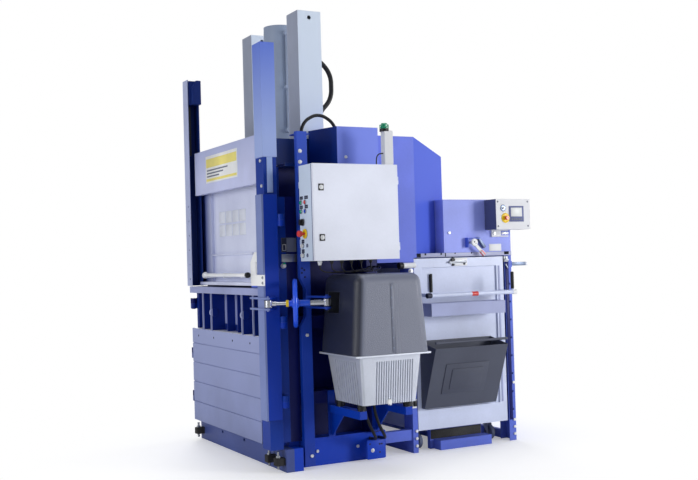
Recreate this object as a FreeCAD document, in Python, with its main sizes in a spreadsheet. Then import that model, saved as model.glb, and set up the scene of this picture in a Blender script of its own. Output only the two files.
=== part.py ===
import FreeCAD, Part
import math
import os
import re
import Sketcher

# Recycling baler with a side loading bay: an upright press with a swinging bale
# door, a lifting feed door and a hand-wheel lock, a hydraulic power pack and a
# control cabinet on the near side, and a bay at the right that holds a trolley.
# Millimetres. +Z is up, +X runs from the bale door to the loading bay and +Y runs
# away from the cabinet side. The origin is on the floor under the press ram.

Vector = FreeCAD.Vector
Rotation = FreeCAD.Rotation
Placement = FreeCAD.Placement

doc = FreeCAD.newDocument("recycling_baler")
sheet = doc.addObject("Spreadsheet::Sheet", "sizes")

# ---------------------------------------------------------------- driving sizes
SIZES = {
    # press base and chamber
    "press_wide": 1600, "press_deep": 776, "ram_to_front": 390, "chamber_half": 330,
    "base_tall": 146, "base_beam": 118, "side_set_back": 90, "side_plate_tall": 182,
    "floor_top": 170, "strap_groove_wide": 40, "strap_groove_deep": 30,
    "chamber_wide": 1200, "wall_thick": 10, "wall_rib_deep": 110, "wall_rib_tall": 80,
    "feed_low": 1230, "feed_high": 1760,
    # head, ram and guide columns
    "head_low": 1960, "head_top": 2170, "head_deep": 640, "head_plate": 20,
    "column_wide": 176, "column_wall": 8, "column_top": 3053, "column_spacing": 820,
    "column_hole": 14,
    "barrel_radius": 115, "barrel_wall": 18, "barrel_top": 3040, "barrel_foot_radius": 150,
    "barrel_foot": 30, "piston_radius": 45, "hose_port_side": 60, "hose_port_up": 660,
    "hose_port_reach": 112,
    "platen_wide": 1170, "platen_deep": 630, "platen_tall": 140, "guide_bar": 120,
    "guide_bar_top": 2990, "fit_gap": 0.3, "ram_gap": 3,
    # guide posts of the feed door
    "post_wide": 126, "post_deep": 90, "post_set_in": 23, "post_reach": 98,
    "post_top": 2745, "post_sheet": 6, "cover_low": 2013, "cover_thick": 4,
    "rail_top": 2013, "rail_low": 1783, "far_post_low": 1178,
    "hinge_post_wide": 74, "hinge_post_set_in": 60, "hinge_post_top": 1760,
    # side post
    "side_post_left": 130, "side_post_wide": 72, "side_post_deep": 40,
    "side_post_top": 2182, "notch_low": 925, "notch_high": 1235, "notch_deep": 40,
    "notch_slope": 45, "base_foot": 23,
    # feed door
    "door_gap": 3, "feed_door_low": 1186, "feed_door_top": 1880, "feed_door_thick": 10,
    "front_panel_low": 1861, "front_panel_top": 2181, "front_panel_reach": 54,
    "front_panel_fold": 30, "jamb_sheet": 6, "feed_rail_tall": 22,
    "feed_rail_reach": 96, "strip_wide": 12,
    "tube_height": 1256, "tube_radius": 13, "tube_near": 560, "tube_far": 1380,
    "tube_reach": 60, "latch_near": 327, "stile_far": 1330, "latch_wide": 209, "latch_deep": 40,
    "latch_top": 1411, "latch_pivot": 1330, "lever_reach": 115,
    # bale door
    "bale_door_near": 222, "bale_door_far": 1590, "bale_door_low": 152,
    "bale_door_top": 1172, "bale_door_split": 852, "slat_edge": 266, "slat_reach": 54,
    "slat_box_deep": 42, "groove_tall": 7, "groove_deep": 5, "sill_tall": 48,
    "sill_reach": 70, "rib_thick": 10, "door_frame_bar": 44, "door_skin": 10,
    "door_pin_radius": 14, "door_knuckle_radius": 24, "door_pin_front": 30,
    "door_pin_far": 1616, "door_knuckle_tall": 40, "door_bracket": 30,
    # claw column and its screw lock
    "claw_low": 338, "claw_top": 1772, "claw_reach": 128, "claw_lip": 98,
    "claw_plate": 12, "claw_side": 108, "pivot_x": 4, "pivot_y": 2,
    "hinge_pin_radius": 12, "knuckle_radius": 22, "knuckle_tall": 38, "pin_gap": 0.05,
    "lug_height": 1078, "lug_space": 56, "lug_plate": 12, "lock_pin_radius": 11,
    "finger_reach": 205, "claw_pin_x": 113, "claw_pin_y": 38, "lock_angle": 24.9,
    "lock_length": 367, "screw_radius": 12, "eye_radius": 26, "eye_thick": 44,
    "lock_hole_gap": 2.2, "sleeve_radius": 19, "sleeve_start": 109, "sleeve_end": 262,
    "wheel_station": 168, "wheel_radius": 140, "wheel_rim": 15, "wheel_hub_radius": 30,
    "wheel_hub": 44, "wheel_spoke": 8, "link_screw_start": 225, "claw_rod_end": 185,
    # control cabinet
    "cabinet_left": 71, "cabinet_wide": 600, "cabinet_low": 1340, "cabinet_tall": 600,
    "cabinet_deep": 180, "cabinet_back": 144, "cabinet_sheet": 2, "cabinet_door_deep": 22,
    # beacon
    "beacon_left": 655, "beacon_wide": 62, "beacon_deep": 50, "beacon_tall": 215,
    "lamp_radius": 32, "lamp_tall": 52, "lamp_offset": 13,
    # covers on the near side
    "feed_cover_left": 426, "feed_cover_right": 738, "feed_cover_low": 1966,
    "feed_cover_top": 2225, "feed_cover_back": 295, "feed_cover_skew": 68,
    "cover_sheet": 3, "cover_front": 10, "sheet_metal": 3,
    # hose from the side post to the cover
    "hose_radius": 11, "bridge_start": -188, "bridge_end": 70, "bridge_side": -720,
    "shaft_left": 742, "shaft_corner": 1056, "shaft_right": 1388, "shaft_low": 1314,
    "shaft_top": 2182, "shaft_low_top": 2066, "chamfer_deep": 163, "bay_face": 75,
    "bay_back": 1500,
    "hood_left": 1285, "hood_right": 1862, "hood_low": 1372, "hood_top": 1747,
    "tie_low": 89, "tie_top": 162,
    # loading bay
    "bay_post_left": 991, "bay_left": 1031, "bay_right": 1807, "bay_post_deep": 115,
    "stop_left": 1200, "stop_right": 1633, "stop_tall": 66,
    "stop_deep": 88,
    # operator terminal
    "terminal_left": 1640, "terminal_wide": 300, "terminal_low": 1527,
    "terminal_tall": 216, "terminal_front": 62,
    "lever_pivot": 1508, "lever_height": 1440, "lever_long": 126, "lever_stand": 38,
    # power pack
    "pack_middle": 522, "tank_low": 440, "tank_top": 742, "tank_front": 462,
    "tank_foot_front": 432, "tank_wide": 436, "tank_foot_wide": 380, "tank_back": 4,
    "tank_foot_back": 50, "flute_deep": 9, "foot_tall": 40,
    "foot_radius": 20, "hood_bottom_wide": 540, "hood_top_wide": 466,
    "hood_bottom_front": 500, "hood_top_front": 484, "hood_bottom": 752,
    "motor_hood_top": 1250, "hood_round": 62, "hood_skin": 5, "hood_rear": 8,
    "bearer_wide": 50, "bearer_tall": 50, "bearer_reach": 385,
    # trolley
    "trolley_low": 148, "trolley_top": 1336, "trolley_gap": 5, "trolley_front": 82,
    "trolley_deep": 1080, "trolley_sheet": 3, "trolley_floor_rise": 24,
    "handle_height": 1083, "handle_front": 100, "handle_radius": 15, "grip_radius": 10,
    "grip_top": 1224, "tray_low": 938, "tray_tall": 88, "tray_deep": 150,
    "bin_left": 1066, "bin_right": 1665, "bin_low": 300, "bin_top": 722,
    "trolley_frame_deep": 12, "recess_side": 60, "recess_low": 285, "recess_top": 1271,
    "bin_deep_top": 205, "bin_deep_low": 42, "bin_wall": 4,
    "caster_radius": 53, "caster_wide": 30, "caster_spacing": 620, "caster_trail": 34,
    "caster_back": 160, "caster_set_in": 182, "axle_radius": 6,
    # bolts
    "bolt_head": 11, "bolt_tall": 8,
}
for row, (alias, value) in enumerate(SIZES.items(), start=1):
    sheet.set(f"A{row}", alias)
    sheet.set(f"B{row}", str(value))
    sheet.setAlias(f"B{row}", alias)
doc.recompute()

NAME = re.compile(r"\b([a-z][a-z0-9_]*)\b(?!\()")


def linked(text):
    """Formula with every size name pointing at its cell."""
    return NAME.sub(r"sizes.\1", str(text))


def size(alias):
    """Number held by one cell."""
    return float(getattr(sheet, alias))


def bind(thing, **formulas):
    """Ties properties to the sheet: a double underscore stands for a point."""
    for name, text in formulas.items():
        thing.setExpression(name.replace("__", "."), linked(text))
    return thing


# Datum planes, written as formulas from the ram axis.
NEAR = "(-press_wide / 2)"
FAR = "(press_wide / 2)"
FRONT = "(-ram_to_front)"
REAR = "(press_deep - ram_to_front)"
WALL_FRONT = "(-chamber_half)"
RIB_OUT = "(chamber_wide / 2 + wall_thick + wall_rib_deep + 20)"
CHAMBER_Y = "(chamber_wide / 2)"


def along(alias):
    """X of a size that is measured from the front of the base."""
    return f"({FRONT} + {alias})"


def across(alias):
    """Y of a size that is measured from the near face of the press."""
    return f"({NEAR} + {alias})"


# ---------------------------------------------------------------- building tools
TURNS = {
    "X": Rotation(Vector(0, 1, 0), 90),
    "Y": Rotation(Vector(1, 0, 0), -90),
    "Z": Rotation(),
}
SKETCH_TURNS = {
    "XY": (Rotation(), Vector(0, 0, 1), "z"),
    "XZ": (Rotation(Vector(1, 0, 0), 90), Vector(0, 1, 0), "y"),
    "YZ": (Rotation(Vector(1, 1, 1), 120), Vector(1, 0, 0), "x"),
}


def place(thing, x="0", y="0", z="0", turn=None):
    """Sets the placement: the turn is fixed and the base follows the sheet."""
    thing.Placement = Placement(Vector(), turn or Rotation())
    return bind(thing, Placement__Base__x=x, Placement__Base__y=y, Placement__Base__z=z)


def box(name, x, y, z):
    """Block between a low and a high formula on each axis."""
    block = doc.addObject("Part::Box", name)
    bind(block, Length=f"({x[1]}) - ({x[0]})", Width=f"({y[1]}) - ({y[0]})",
         Height=f"({z[1]}) - ({z[0]})")
    return place(block, x[0], y[0], z[0])


def rod(name, axis, centre, radius, span):
    """Cylinder along a row axis; centre holds the other two coordinates in order."""
    bar = doc.addObject("Part::Cylinder", name)
    bind(bar, Radius=radius, Height=f"({span[1]}) - ({span[0]})")
    spot = list(centre)
    spot.insert("XYZ".index(axis), span[0])
    return place(bar, *spot, turn=TURNS[axis])


def hexagon(name, axis, centre, radius, span):
    """Hexagon head or nut along a row axis."""
    head = doc.addObject("Part::Prism", name)
    head.Polygon = 6
    bind(head, Circumradius=radius, Height=f"({span[1]}) - ({span[0]})")
    spot = list(centre)
    spot.insert("XYZ".index(axis), span[0])
    return place(head, *spot, turn=TURNS[axis])


def outline(sketch, points):
    """Closed polygon whose corners are held by formulas."""
    count = len(points)
    for index in range(count):
        angle = 2 * math.pi * index / count
        following = 2 * math.pi * (index + 1) / count
        sketch.addGeometry(Part.LineSegment(
            Vector(100 * math.cos(angle), 100 * math.sin(angle), 0),
            Vector(100 * math.cos(following), 100 * math.sin(following), 0)), False)
    for index in range(count):
        sketch.addConstraint(Sketcher.Constraint(
            "Coincident", index, 2, (index + 1) % count, 1))
    for index, (first, second) in enumerate(points):
        spot = sketch.addConstraint(Sketcher.Constraint("DistanceX", index, 1, 1.0 + index))
        sketch.setExpression(f"Constraints[{spot}]", linked(first))
        spot = sketch.addConstraint(Sketcher.Constraint("DistanceY", index, 1, 1.0 + index))
        sketch.setExpression(f"Constraints[{spot}]", linked(second))
    return sketch


def prism(name, plane, points, span):
    """Polygon drawn on a plane and drawn out between two formulas along its normal."""
    turn, way, axis = SKETCH_TURNS[plane]
    sketch = doc.addObject("Sketcher::SketchObject", f"{name}_outline")
    sketch.Placement = Placement(Vector(), turn)
    outline(sketch, points)
    bind(sketch, **{f"Placement__Base__{axis}": span[0]})
    solid = doc.addObject("Part::Extrusion", name)
    solid.Base = sketch
    solid.DirMode = "Custom"
    solid.Dir = way
    solid.Solid = True
    return bind(solid, LengthFwd=f"({span[1]}) - ({span[0]})")


def group(name, parts):
    """Separate solids that share one name."""
    bundle = doc.addObject("Part::Compound", name)
    bundle.Links = list(parts)
    return bundle


def fuse(name, parts):
    """Parts welded into one solid."""
    welded = doc.addObject("Part::MultiFuse", name)
    welded.Shapes = list(parts)
    welded.Refine = True
    return welded


def cut(name, base, tools):
    """Base with the tools taken away."""
    trimmed = doc.addObject("Part::Cut", name)
    trimmed.Base = base
    trimmed.Tool = tools[0] if len(tools) == 1 else group(f"{name}_tools", tools)
    trimmed.Refine = True
    return trimmed


def frame_of(name, x, y, z, bar, way):
    """Rectangular ring that is open along one axis and is bar wide all round."""
    outer = box(f"{name}_outside", x, y, z)
    spans = {"X": x, "Y": y, "Z": z}
    inner = {axis: ((f"{low} - 1", f"{high} + 1") if axis == way
                    else (f"{low} + {bar}", f"{high} - {bar}"))
             for axis, (low, high) in spans.items()}
    return cut(name, outer, [box(f"{name}_inside", inner["X"], inner["Y"], inner["Z"])])


NODES = []
FITTINGS = []


def node(name, thing):
    """Names a finished sub-part, which becomes a file of its own."""
    thing.Label = name
    NODES.append(thing)
    return thing


# ---------------------------------------------------------------- press structure
def base_frame():
    """Welded base with the chamber floor and its strap grooves on top."""
    side_in = f"{NEAR} + side_set_back"
    parts = [
        box("base_front_beam", (FRONT, f"{FRONT} + base_beam"), (NEAR, FAR),
            ("0", "base_tall")),
        box("base_ram_beam", ("-base_beam / 2", "base_beam / 2"),
            (side_in, f"-({side_in})"), ("0", "floor_top - strap_groove_deep")),
        box("base_rear_beam", (f"{REAR} - base_beam", REAR),
            (side_in, f"-({side_in})"), ("0", "side_plate_tall")),
        box("chamber_floor", (WALL_FRONT, REAR), (f"-{CHAMBER_Y}", CHAMBER_Y),
            ("floor_top - 2 * strap_groove_deep", "floor_top")),
    ]
    for side, low, high in (("near", side_in, f"-{CHAMBER_Y}"),
                            ("far", CHAMBER_Y, f"-({side_in})")):
        parts.append(box(f"base_{side}_beam", (WALL_FRONT, REAR), (low, high),
                         ("0", "side_plate_tall")))
    grooves = []
    for index in range(4):
        middle = f"chamber_wide * ({index} - 1.5) / 4"
        grooves.append(box(f"strap_groove_{index}", (f"{FRONT} - 1", f"{REAR} + 1"),
                           (f"{middle} - strap_groove_wide / 2",
                            f"{middle} + strap_groove_wide / 2"),
                           ("floor_top - strap_groove_deep", "floor_top + 1")))
    for index, spot in enumerate((330, 700, 1120)):
        grooves.append(box(f"base_slot_{index}", (f"{FRONT} - 1", f"{FRONT} + base_beam + 1"),
                           (across(spot), across(spot + 34)), ("100", "118")))
    return node("base_frame", cut("base_weldment", fuse("base_blank", parts), grooves))


def chamber_shell():
    """Side walls and rear wall of the chamber with their stiffening ribs."""
    skin_out = f"({CHAMBER_Y} + wall_thick)"
    parts = [box("rear_wall_skin", ("chamber_half", "chamber_half + wall_thick"),
                 (f"-{skin_out}", skin_out), ("side_plate_tall", "head_low"))]
    for side, sign in (("near", -1), ("far", 1)):
        low, high = (f"-{skin_out}", f"-{CHAMBER_Y}") if sign < 0 else (CHAMBER_Y, skin_out)
        parts.append(box(f"{side}_wall_skin", ("-chamber_half", "chamber_half + wall_thick"),
                         (low, high), ("side_plate_tall", "head_low")))
        low, high = ((f"-{RIB_OUT}", f"-{CHAMBER_Y} - wall_thick / 2") if sign < 0
                     else (f"{CHAMBER_Y} + wall_thick / 2", RIB_OUT))
        for index, top in enumerate((490, 980, 1470)):
            parts.append(box(f"{side}_rib_{index}", (WALL_FRONT, "chamber_half"),
                             (low, high), (f"{top} - wall_rib_tall", f"{top}")))
        parts.append(box(f"{side}_front_upright",
                         ("-chamber_half", "-chamber_half + hinge_post_wide"),
                         (low, high), ("side_plate_tall", "hinge_post_top")))
        parts.append(box(f"{side}_rear_upright",
                         ("chamber_half + wall_thick - wall_rib_tall",
                          "chamber_half + wall_thick"),
                         (low, high), ("side_plate_tall", "head_low")))
    for index, top in enumerate((700, 1220)):
        parts.append(box(f"rear_rib_{index}", ("chamber_half", "chamber_half + 50"),
                         (f"-{skin_out}", skin_out), (f"{top} - wall_rib_tall", f"{top}")))
    bracket_low = across("door_pin_far - door_bracket / 2")
    bracket_high = across("door_pin_far + door_bracket / 2")
    pin_x = along("(-door_pin_front)")
    for index, middle in enumerate(HINGE_LEVELS):
        parts.append(box(f"door_bracket_arm_{index}",
                         (pin_x, "-chamber_half + hinge_post_wide"),
                         (bracket_low, bracket_high),
                         (f"{middle} + fit_gap", f"{middle} + door_knuckle_tall")))
        parts.append(box(f"door_bracket_root_{index}",
                         ("-chamber_half + 4", "-chamber_half + hinge_post_wide"),
                         (f"{RIB_OUT} - 2", bracket_high),
                         (f"{middle} - door_knuckle_tall", f"{middle} + door_knuckle_tall")))
        parts += hinge_eye(f"door_bracket_{index}", pin_x, across("door_pin_far"), f"{middle}",
                           "door_knuckle_radius", "door_pin_radius", "door_knuckle_tall")
    opening = box("feed_opening", ("chamber_half - 1", "chamber_half + wall_thick + 1"),
                  (f"-{CHAMBER_Y} + 60", f"{CHAMBER_Y} - 60"), ("feed_low", "feed_high"))
    return node("chamber_shell", cut("chamber_weldment", fuse("chamber_blank", parts),
                                     [opening]))


HINGE_LEVELS = (330, 660, 1040)
CLAW_LEVELS = (450, 955, 1608)


def head_yoke():
    """Hollow head over the chamber, pierced for the guide bars and the piston rod."""
    half = "head_deep / 2"
    wide = "(column_spacing / 2 + column_wide / 2 + 2)"
    shell = fuse("head_outside", [
        box("head_box", (f"-{half}", half), (f"-{wide}", wide), ("head_low", "head_top")),
        box("head_crown_plate", (f"-{half}", "chamber_half + wall_thick"),
            (f"-{RIB_OUT}", RIB_OUT), ("head_low", "head_low + head_plate")),
    ])
    hollow = box("head_hollow", (f"-{half} + head_plate", f"{half} - head_plate"),
                 (f"-{wide} + head_plate", f"{wide} - head_plate"),
                 ("head_low + head_plate", "head_top - head_plate"))
    tools = [hollow, rod("rod_hole", "Z", ("0", "0"), "piston_radius + ram_gap",
                         ("head_low - 1", "head_top + 1"))]
    for side, sign in (("near", "-"), ("far", "")):
        middle = f"{sign}column_spacing / 2"
        grip = "(guide_bar / 2 + ram_gap)"
        tools.append(box(f"{side}_bar_hole", (f"-{grip}", grip),
                         (f"{middle} - {grip}", f"{middle} + {grip}"),
                         ("head_low - 1", "head_top + 1")))
    return node("head_yoke", cut("head_weldment", shell, tools))


def guide_tubes():
    """Two square tubes on the head, in which the guide bars of the ram run."""
    tubes = []
    half = "column_wide / 2"
    inner = "(column_wide / 2 - column_wall)"
    for side, sign in (("near", "-"), ("far", "")):
        middle = f"({sign}column_spacing / 2)"
        outer = box(f"{side}_tube_outside", (f"-{half}", half),
                    (f"{middle} - {half}", f"{middle} + {half}"), ("head_top", "column_top"))
        bore = box(f"{side}_tube_bore", (f"-{inner}", inner),
                   (f"{middle} - {inner}", f"{middle} + {inner}"),
                   ("head_top - 1", "column_top - column_wall"))
        eye = rod(f"{side}_tube_eye", "Y", ("0", "column_top - 45"), "column_hole",
                  (f"{middle} - {half} - 1", f"{middle} + {half} + 1"))
        tubes.append(cut(f"{side}_guide_tube", outer, [bore, eye]))
    return node("guide_tubes", group("guide_tube_pair", tubes))


def cylinder_barrel():
    """Hydraulic cylinder on the head, with its foot flange, cap and pressure pipe."""
    inner = "(barrel_radius - barrel_wall)"
    outer = [
        rod("barrel_tube", "Z", ("0", "0"), "barrel_radius", ("head_top", "barrel_top")),
        rod("barrel_foot_ring", "Z", ("0", "0"), "barrel_foot_radius",
            ("head_top", "head_top + barrel_foot")),
    ]
    pipe_x, pipe_y = "-6", "-(barrel_radius + 14)"
    for index, height in enumerate(("barrel_top - 60", "head_top + 420", "head_top + 110")):
        outer.append(rod(f"barrel_boss_{index}", "Y", (pipe_x, height), "17",
                         (f"{pipe_y} - 12", "-barrel_radius + 22")))
    outer.append(rod("pressure_pipe", "Z", (pipe_x, pipe_y), "9",
                     ("head_top + 110", "barrel_top - 60")))
    outer.append(rod("hose_boss", "X", ("-hose_port_side", "head_top + hose_port_up"), "24",
                     ("0", "hose_port_reach")))
    bore = rod("barrel_bore", "Z", ("0", "0"), inner,
               ("head_top + barrel_foot", "barrel_top - barrel_foot"))
    gland = rod("barrel_gland", "Z", ("0", "0"), "piston_radius + fit_gap",
                ("head_top - 1", "head_top + barrel_foot + 1"))
    return node("cylinder_barrel", cut("barrel_weldment", fuse("barrel_blank", outer),
                                       [bore, gland]))


def ram():
    """Pressing platen with its ribs, then the guide bars and the piston rod above it."""
    top = "(head_low - 4)"
    low = f"({top} - platen_tall)"
    plate_top = f"({low} + 40)"
    half_x, half_y = "platen_deep / 2", "platen_wide / 2"
    parts = [box("platen_plate", (f"-{half_x}", half_x), (f"-{half_y}", half_y),
                 (low, plate_top))]
    for index in range(3):
        middle = f"({index} - 1) * (platen_deep / 2 - 30)"
        parts.append(box(f"platen_long_rib_{index}", (f"{middle} - 12", f"{middle} + 12"),
                         (f"-{half_y} + 20", f"{half_y} - 20"), (f"{plate_top} - 1", top)))
    for index in range(5):
        middle = f"({index} - 2) * column_spacing / 4"
        parts.append(box(f"platen_cross_rib_{index}", (f"-{half_x} + 20", f"{half_x} - 20"),
                         (f"{middle} - 12", f"{middle} + 12"), (f"{plate_top} - 1", top)))
    for side, sign in (("near", "-"), ("far", "")):
        middle = f"({sign}column_spacing / 2)"
        parts.append(box(f"{side}_bar_seat", ("-guide_bar / 2 - 10", "guide_bar / 2 + 10"),
                         (f"{middle} - guide_bar / 2 - 10", f"{middle} + guide_bar / 2 + 10"),
                         (f"{plate_top} - 1", top)))
    parts.append(rod("rod_seat", "Z", ("0", "0"), "piston_radius + 30",
                     (f"{plate_top} - 1", top)))
    grooves = []
    for index in range(4):
        middle = f"chamber_wide * ({index} - 1.5) / 4"
        grooves.append(box(f"platen_groove_{index}", (f"-{half_x} - 1", f"{half_x} + 1"),
                           (f"{middle} - strap_groove_wide / 2",
                            f"{middle} + strap_groove_wide / 2"),
                           (f"{low} - 1", f"{low} + 24")))
    node("press_platen", cut("platen_weldment", fuse("platen_blank", parts), grooves))
    bars = []
    for side, sign in (("near", "-"), ("far", "")):
        middle = f"({sign}column_spacing / 2)"
        bars.append(box(f"{side}_guide_bar", ("-guide_bar / 2", "guide_bar / 2"),
                        (f"{middle} - guide_bar / 2", f"{middle} + guide_bar / 2"),
                        (top, "guide_bar_top")))
    shaft = rod("piston_shaft", "Z", ("0", "0"), "piston_radius", (top, "barrel_top - 40"))
    head = rod("piston_head", "Z", ("0", "0"), "barrel_radius - barrel_wall - fit_gap",
               ("barrel_top - 100", "barrel_top - 40"))
    bars.append(fuse("piston_rod", [shaft, head]))
    node("ram_bars", group("ram_bar_set", bars))


# ---------------------------------------------------------------- feed door side
POST_LEFT = along("(-post_reach)")
POST_RIGHT = along("(-post_reach + post_deep)")
POST_IN = across("(post_set_in + post_wide)")
FAR_POST_IN = f"({FAR} - post_set_in - 26)"
FAR_POST_MOUTH = f"({FAR_POST_IN} - post_wide + 20)"


def guide_post(side, low, y_low, y_high, opening):
    """Folded channel of a guide post; opening is the side that faces the door."""
    outer = box(f"{side}_post_outside", (POST_LEFT, POST_RIGHT), (y_low, y_high),
                (low, "post_top"))
    span = ((f"{y_low} + post_sheet", f"{y_high} + 1") if opening == "+"
            else (f"{y_low} - 1", f"{y_high} - post_sheet"))
    inner = box(f"{side}_post_inside", (f"{POST_LEFT} + post_sheet",
                                        f"{POST_RIGHT} - post_sheet"), span,
                (f"{low} - 1", "post_top + 1"))
    return cut(f"{side}_post_channel", outer, [inner])


def near_guide_post():
    """Near channel with its bolted cover, door jamb and the knuckles of the claw."""
    y_low = across("post_set_in")
    y_high = POST_IN
    channel = guide_post("near", "base_tall", y_low, y_high, "+")
    cover_outer = box("cover_outside", (f"{POST_LEFT} - cover_thick",
                                        f"{POST_RIGHT} + cover_thick"),
                      (f"{y_low} - cover_thick", y_high), ("cover_low", "post_top + 4"))
    cover_inner = box("cover_inside", (f"{POST_LEFT} + 1", f"{POST_RIGHT} - 1"),
                      (f"{y_low} + 1", f"{y_high} + 1"), ("cover_low - 1", "post_top"))
    cover = cut("near_post_cover", cover_outer, [cover_inner])
    rail = box("near_rail", (f"{POST_LEFT} + 22", f"{POST_LEFT} + 62"),
               (f"{y_low} - 3", f"{y_low} + 1"), ("rail_low", "cover_low"))
    jamb_low = across("hinge_post_set_in")
    parts = [channel, cover, rail,
             box("near_jamb", (f"{POST_RIGHT} - 1", WALL_FRONT),
                 (jamb_low, f"{jamb_low} + jamb_sheet"), ("side_plate_tall", "hinge_post_top")),
             box("near_jamb_return", (f"{POST_RIGHT} - 1", WALL_FRONT),
                 (f"{y_high} - jamb_sheet", y_high), ("front_panel_low - 600", "head_low"))]
    pivot_x, pivot_y = along("pivot_x"), across("pivot_y")
    for index, middle in enumerate(CLAW_LEVELS):
        parts.append(box(f"claw_bracket_arm_{index}",
                         (f"{pivot_x} - 6", f"{pivot_x} + knuckle_radius"),
                         (pivot_y, f"{jamb_low} + 1"),
                         (f"{middle} + fit_gap", f"{middle} + knuckle_tall")))
        parts += hinge_eye(f"claw_bracket_{index}", pivot_x, pivot_y, f"{middle}",
                           "knuckle_radius", "hinge_pin_radius", "knuckle_tall")
    return node("near_guide_post", fuse("near_post_weldment", parts))


def far_guide_post():
    """Far channel, open to the door, with its jamb, cable head and flange holes."""
    y_low, y_high = FAR_POST_MOUTH, FAR_POST_IN
    channel = guide_post("far", "far_post_low", y_low, y_high, "-")
    jamb = box("far_jamb", (f"{POST_RIGHT} - 1", WALL_FRONT),
               (y_high, f"{y_high} + jamb_sheet"), ("far_post_low", "head_low"))
    foot = box("far_post_foot", (f"{POST_LEFT} + 20", WALL_FRONT),
               (f"{y_high} - 30", f"{y_high} + jamb_sheet"),
               ("far_post_low", "far_post_low + post_sheet"))
    head = box("far_post_head", (f"{POST_LEFT} + 10", f"{POST_RIGHT} + 6"),
               (f"{y_low} - 34", f"{y_low} + 30"), ("post_top - 190", "post_top - 8"))
    slope = prism("far_head_slope", "XZ", [
        (f"{POST_LEFT} + 9", "post_top - 7"), (f"{POST_LEFT} + 9", "post_top - 191"),
        (f"{POST_LEFT} + 30", "post_top - 191"), (f"{POST_LEFT} + 9 + 20", "post_top - 60"),
        (f"{POST_LEFT} + 60", "post_top - 7")], (f"{y_low} - 35", f"{y_low} - 1"))
    holes = [rod(f"flange_hole_{index}", "X", (f"{y_low} + 40", f"{1230 + 110 * index}"), "8",
                 (f"{POST_LEFT} - 1", f"{POST_LEFT} + post_sheet + 1"))
             for index in range(6)]
    shaped_head = cut("far_head_block", head, [slope])
    return node("far_guide_post", cut("far_post_weldment", fuse(
        "far_post_blank", [channel, jamb, foot, shaped_head]), holes))


def guide_strips():
    """Black sliding strips that hold the feed door against the chamber."""
    door_front = f"({WALL_FRONT} - door_gap - feed_door_thick)"
    strips = [
        box("near_strip", (f"{door_front} - fit_gap - strip_wide", f"{door_front} - fit_gap"),
            (POST_IN, f"{POST_IN} + 30"), ("front_panel_low - 600", "head_low")),
        box("far_strip", (f"{door_front} - fit_gap - strip_wide", f"{door_front} - fit_gap"),
            (f"{FAR_POST_IN} - 30", FAR_POST_IN), ("far_post_low + 20", "head_low")),
        box("far_chain_guide", (f"{POST_LEFT} + post_sheet", f"{POST_LEFT} + post_sheet + 26"),
            (f"{FAR_POST_MOUTH} + 30", f"{FAR_POST_MOUTH} + 62"), ("head_top", "post_top - 200")),
    ]
    return node("guide_strip", group("guide_strip_set", strips))


def front_panel():
    """Folded panel over the feed door, between the two guide posts."""
    y_low, y_high = POST_IN, FAR_POST_MOUTH
    face = along("(-front_panel_reach)")
    outer = box("front_panel_outside", (face, f"{face} + 40"), (y_low, y_high),
                ("front_panel_low", "front_panel_top"))
    hollow = box("front_panel_hollow", (f"{face} + sheet_metal", f"{face} + 41"),
                 (f"{y_low} + sheet_metal", f"{y_high} - sheet_metal"),
                 ("front_panel_low + sheet_metal", "front_panel_top - sheet_metal"))
    slots = [box(f"front_panel_slot_{index}", (f"{face} + 12", f"{face} + 30"),
                 (f"{y_low} + {90 + 180 * index}", f"{y_low} + {200 + 180 * index}"),
                 ("front_panel_low - 1", "front_panel_low + sheet_metal + 1"))
             for index in range(6)]
    return node("front_panel", cut("front_panel_fold", outer, [hollow] + slots))


DOOR_BACK = f"({WALL_FRONT} - door_gap)"


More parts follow.
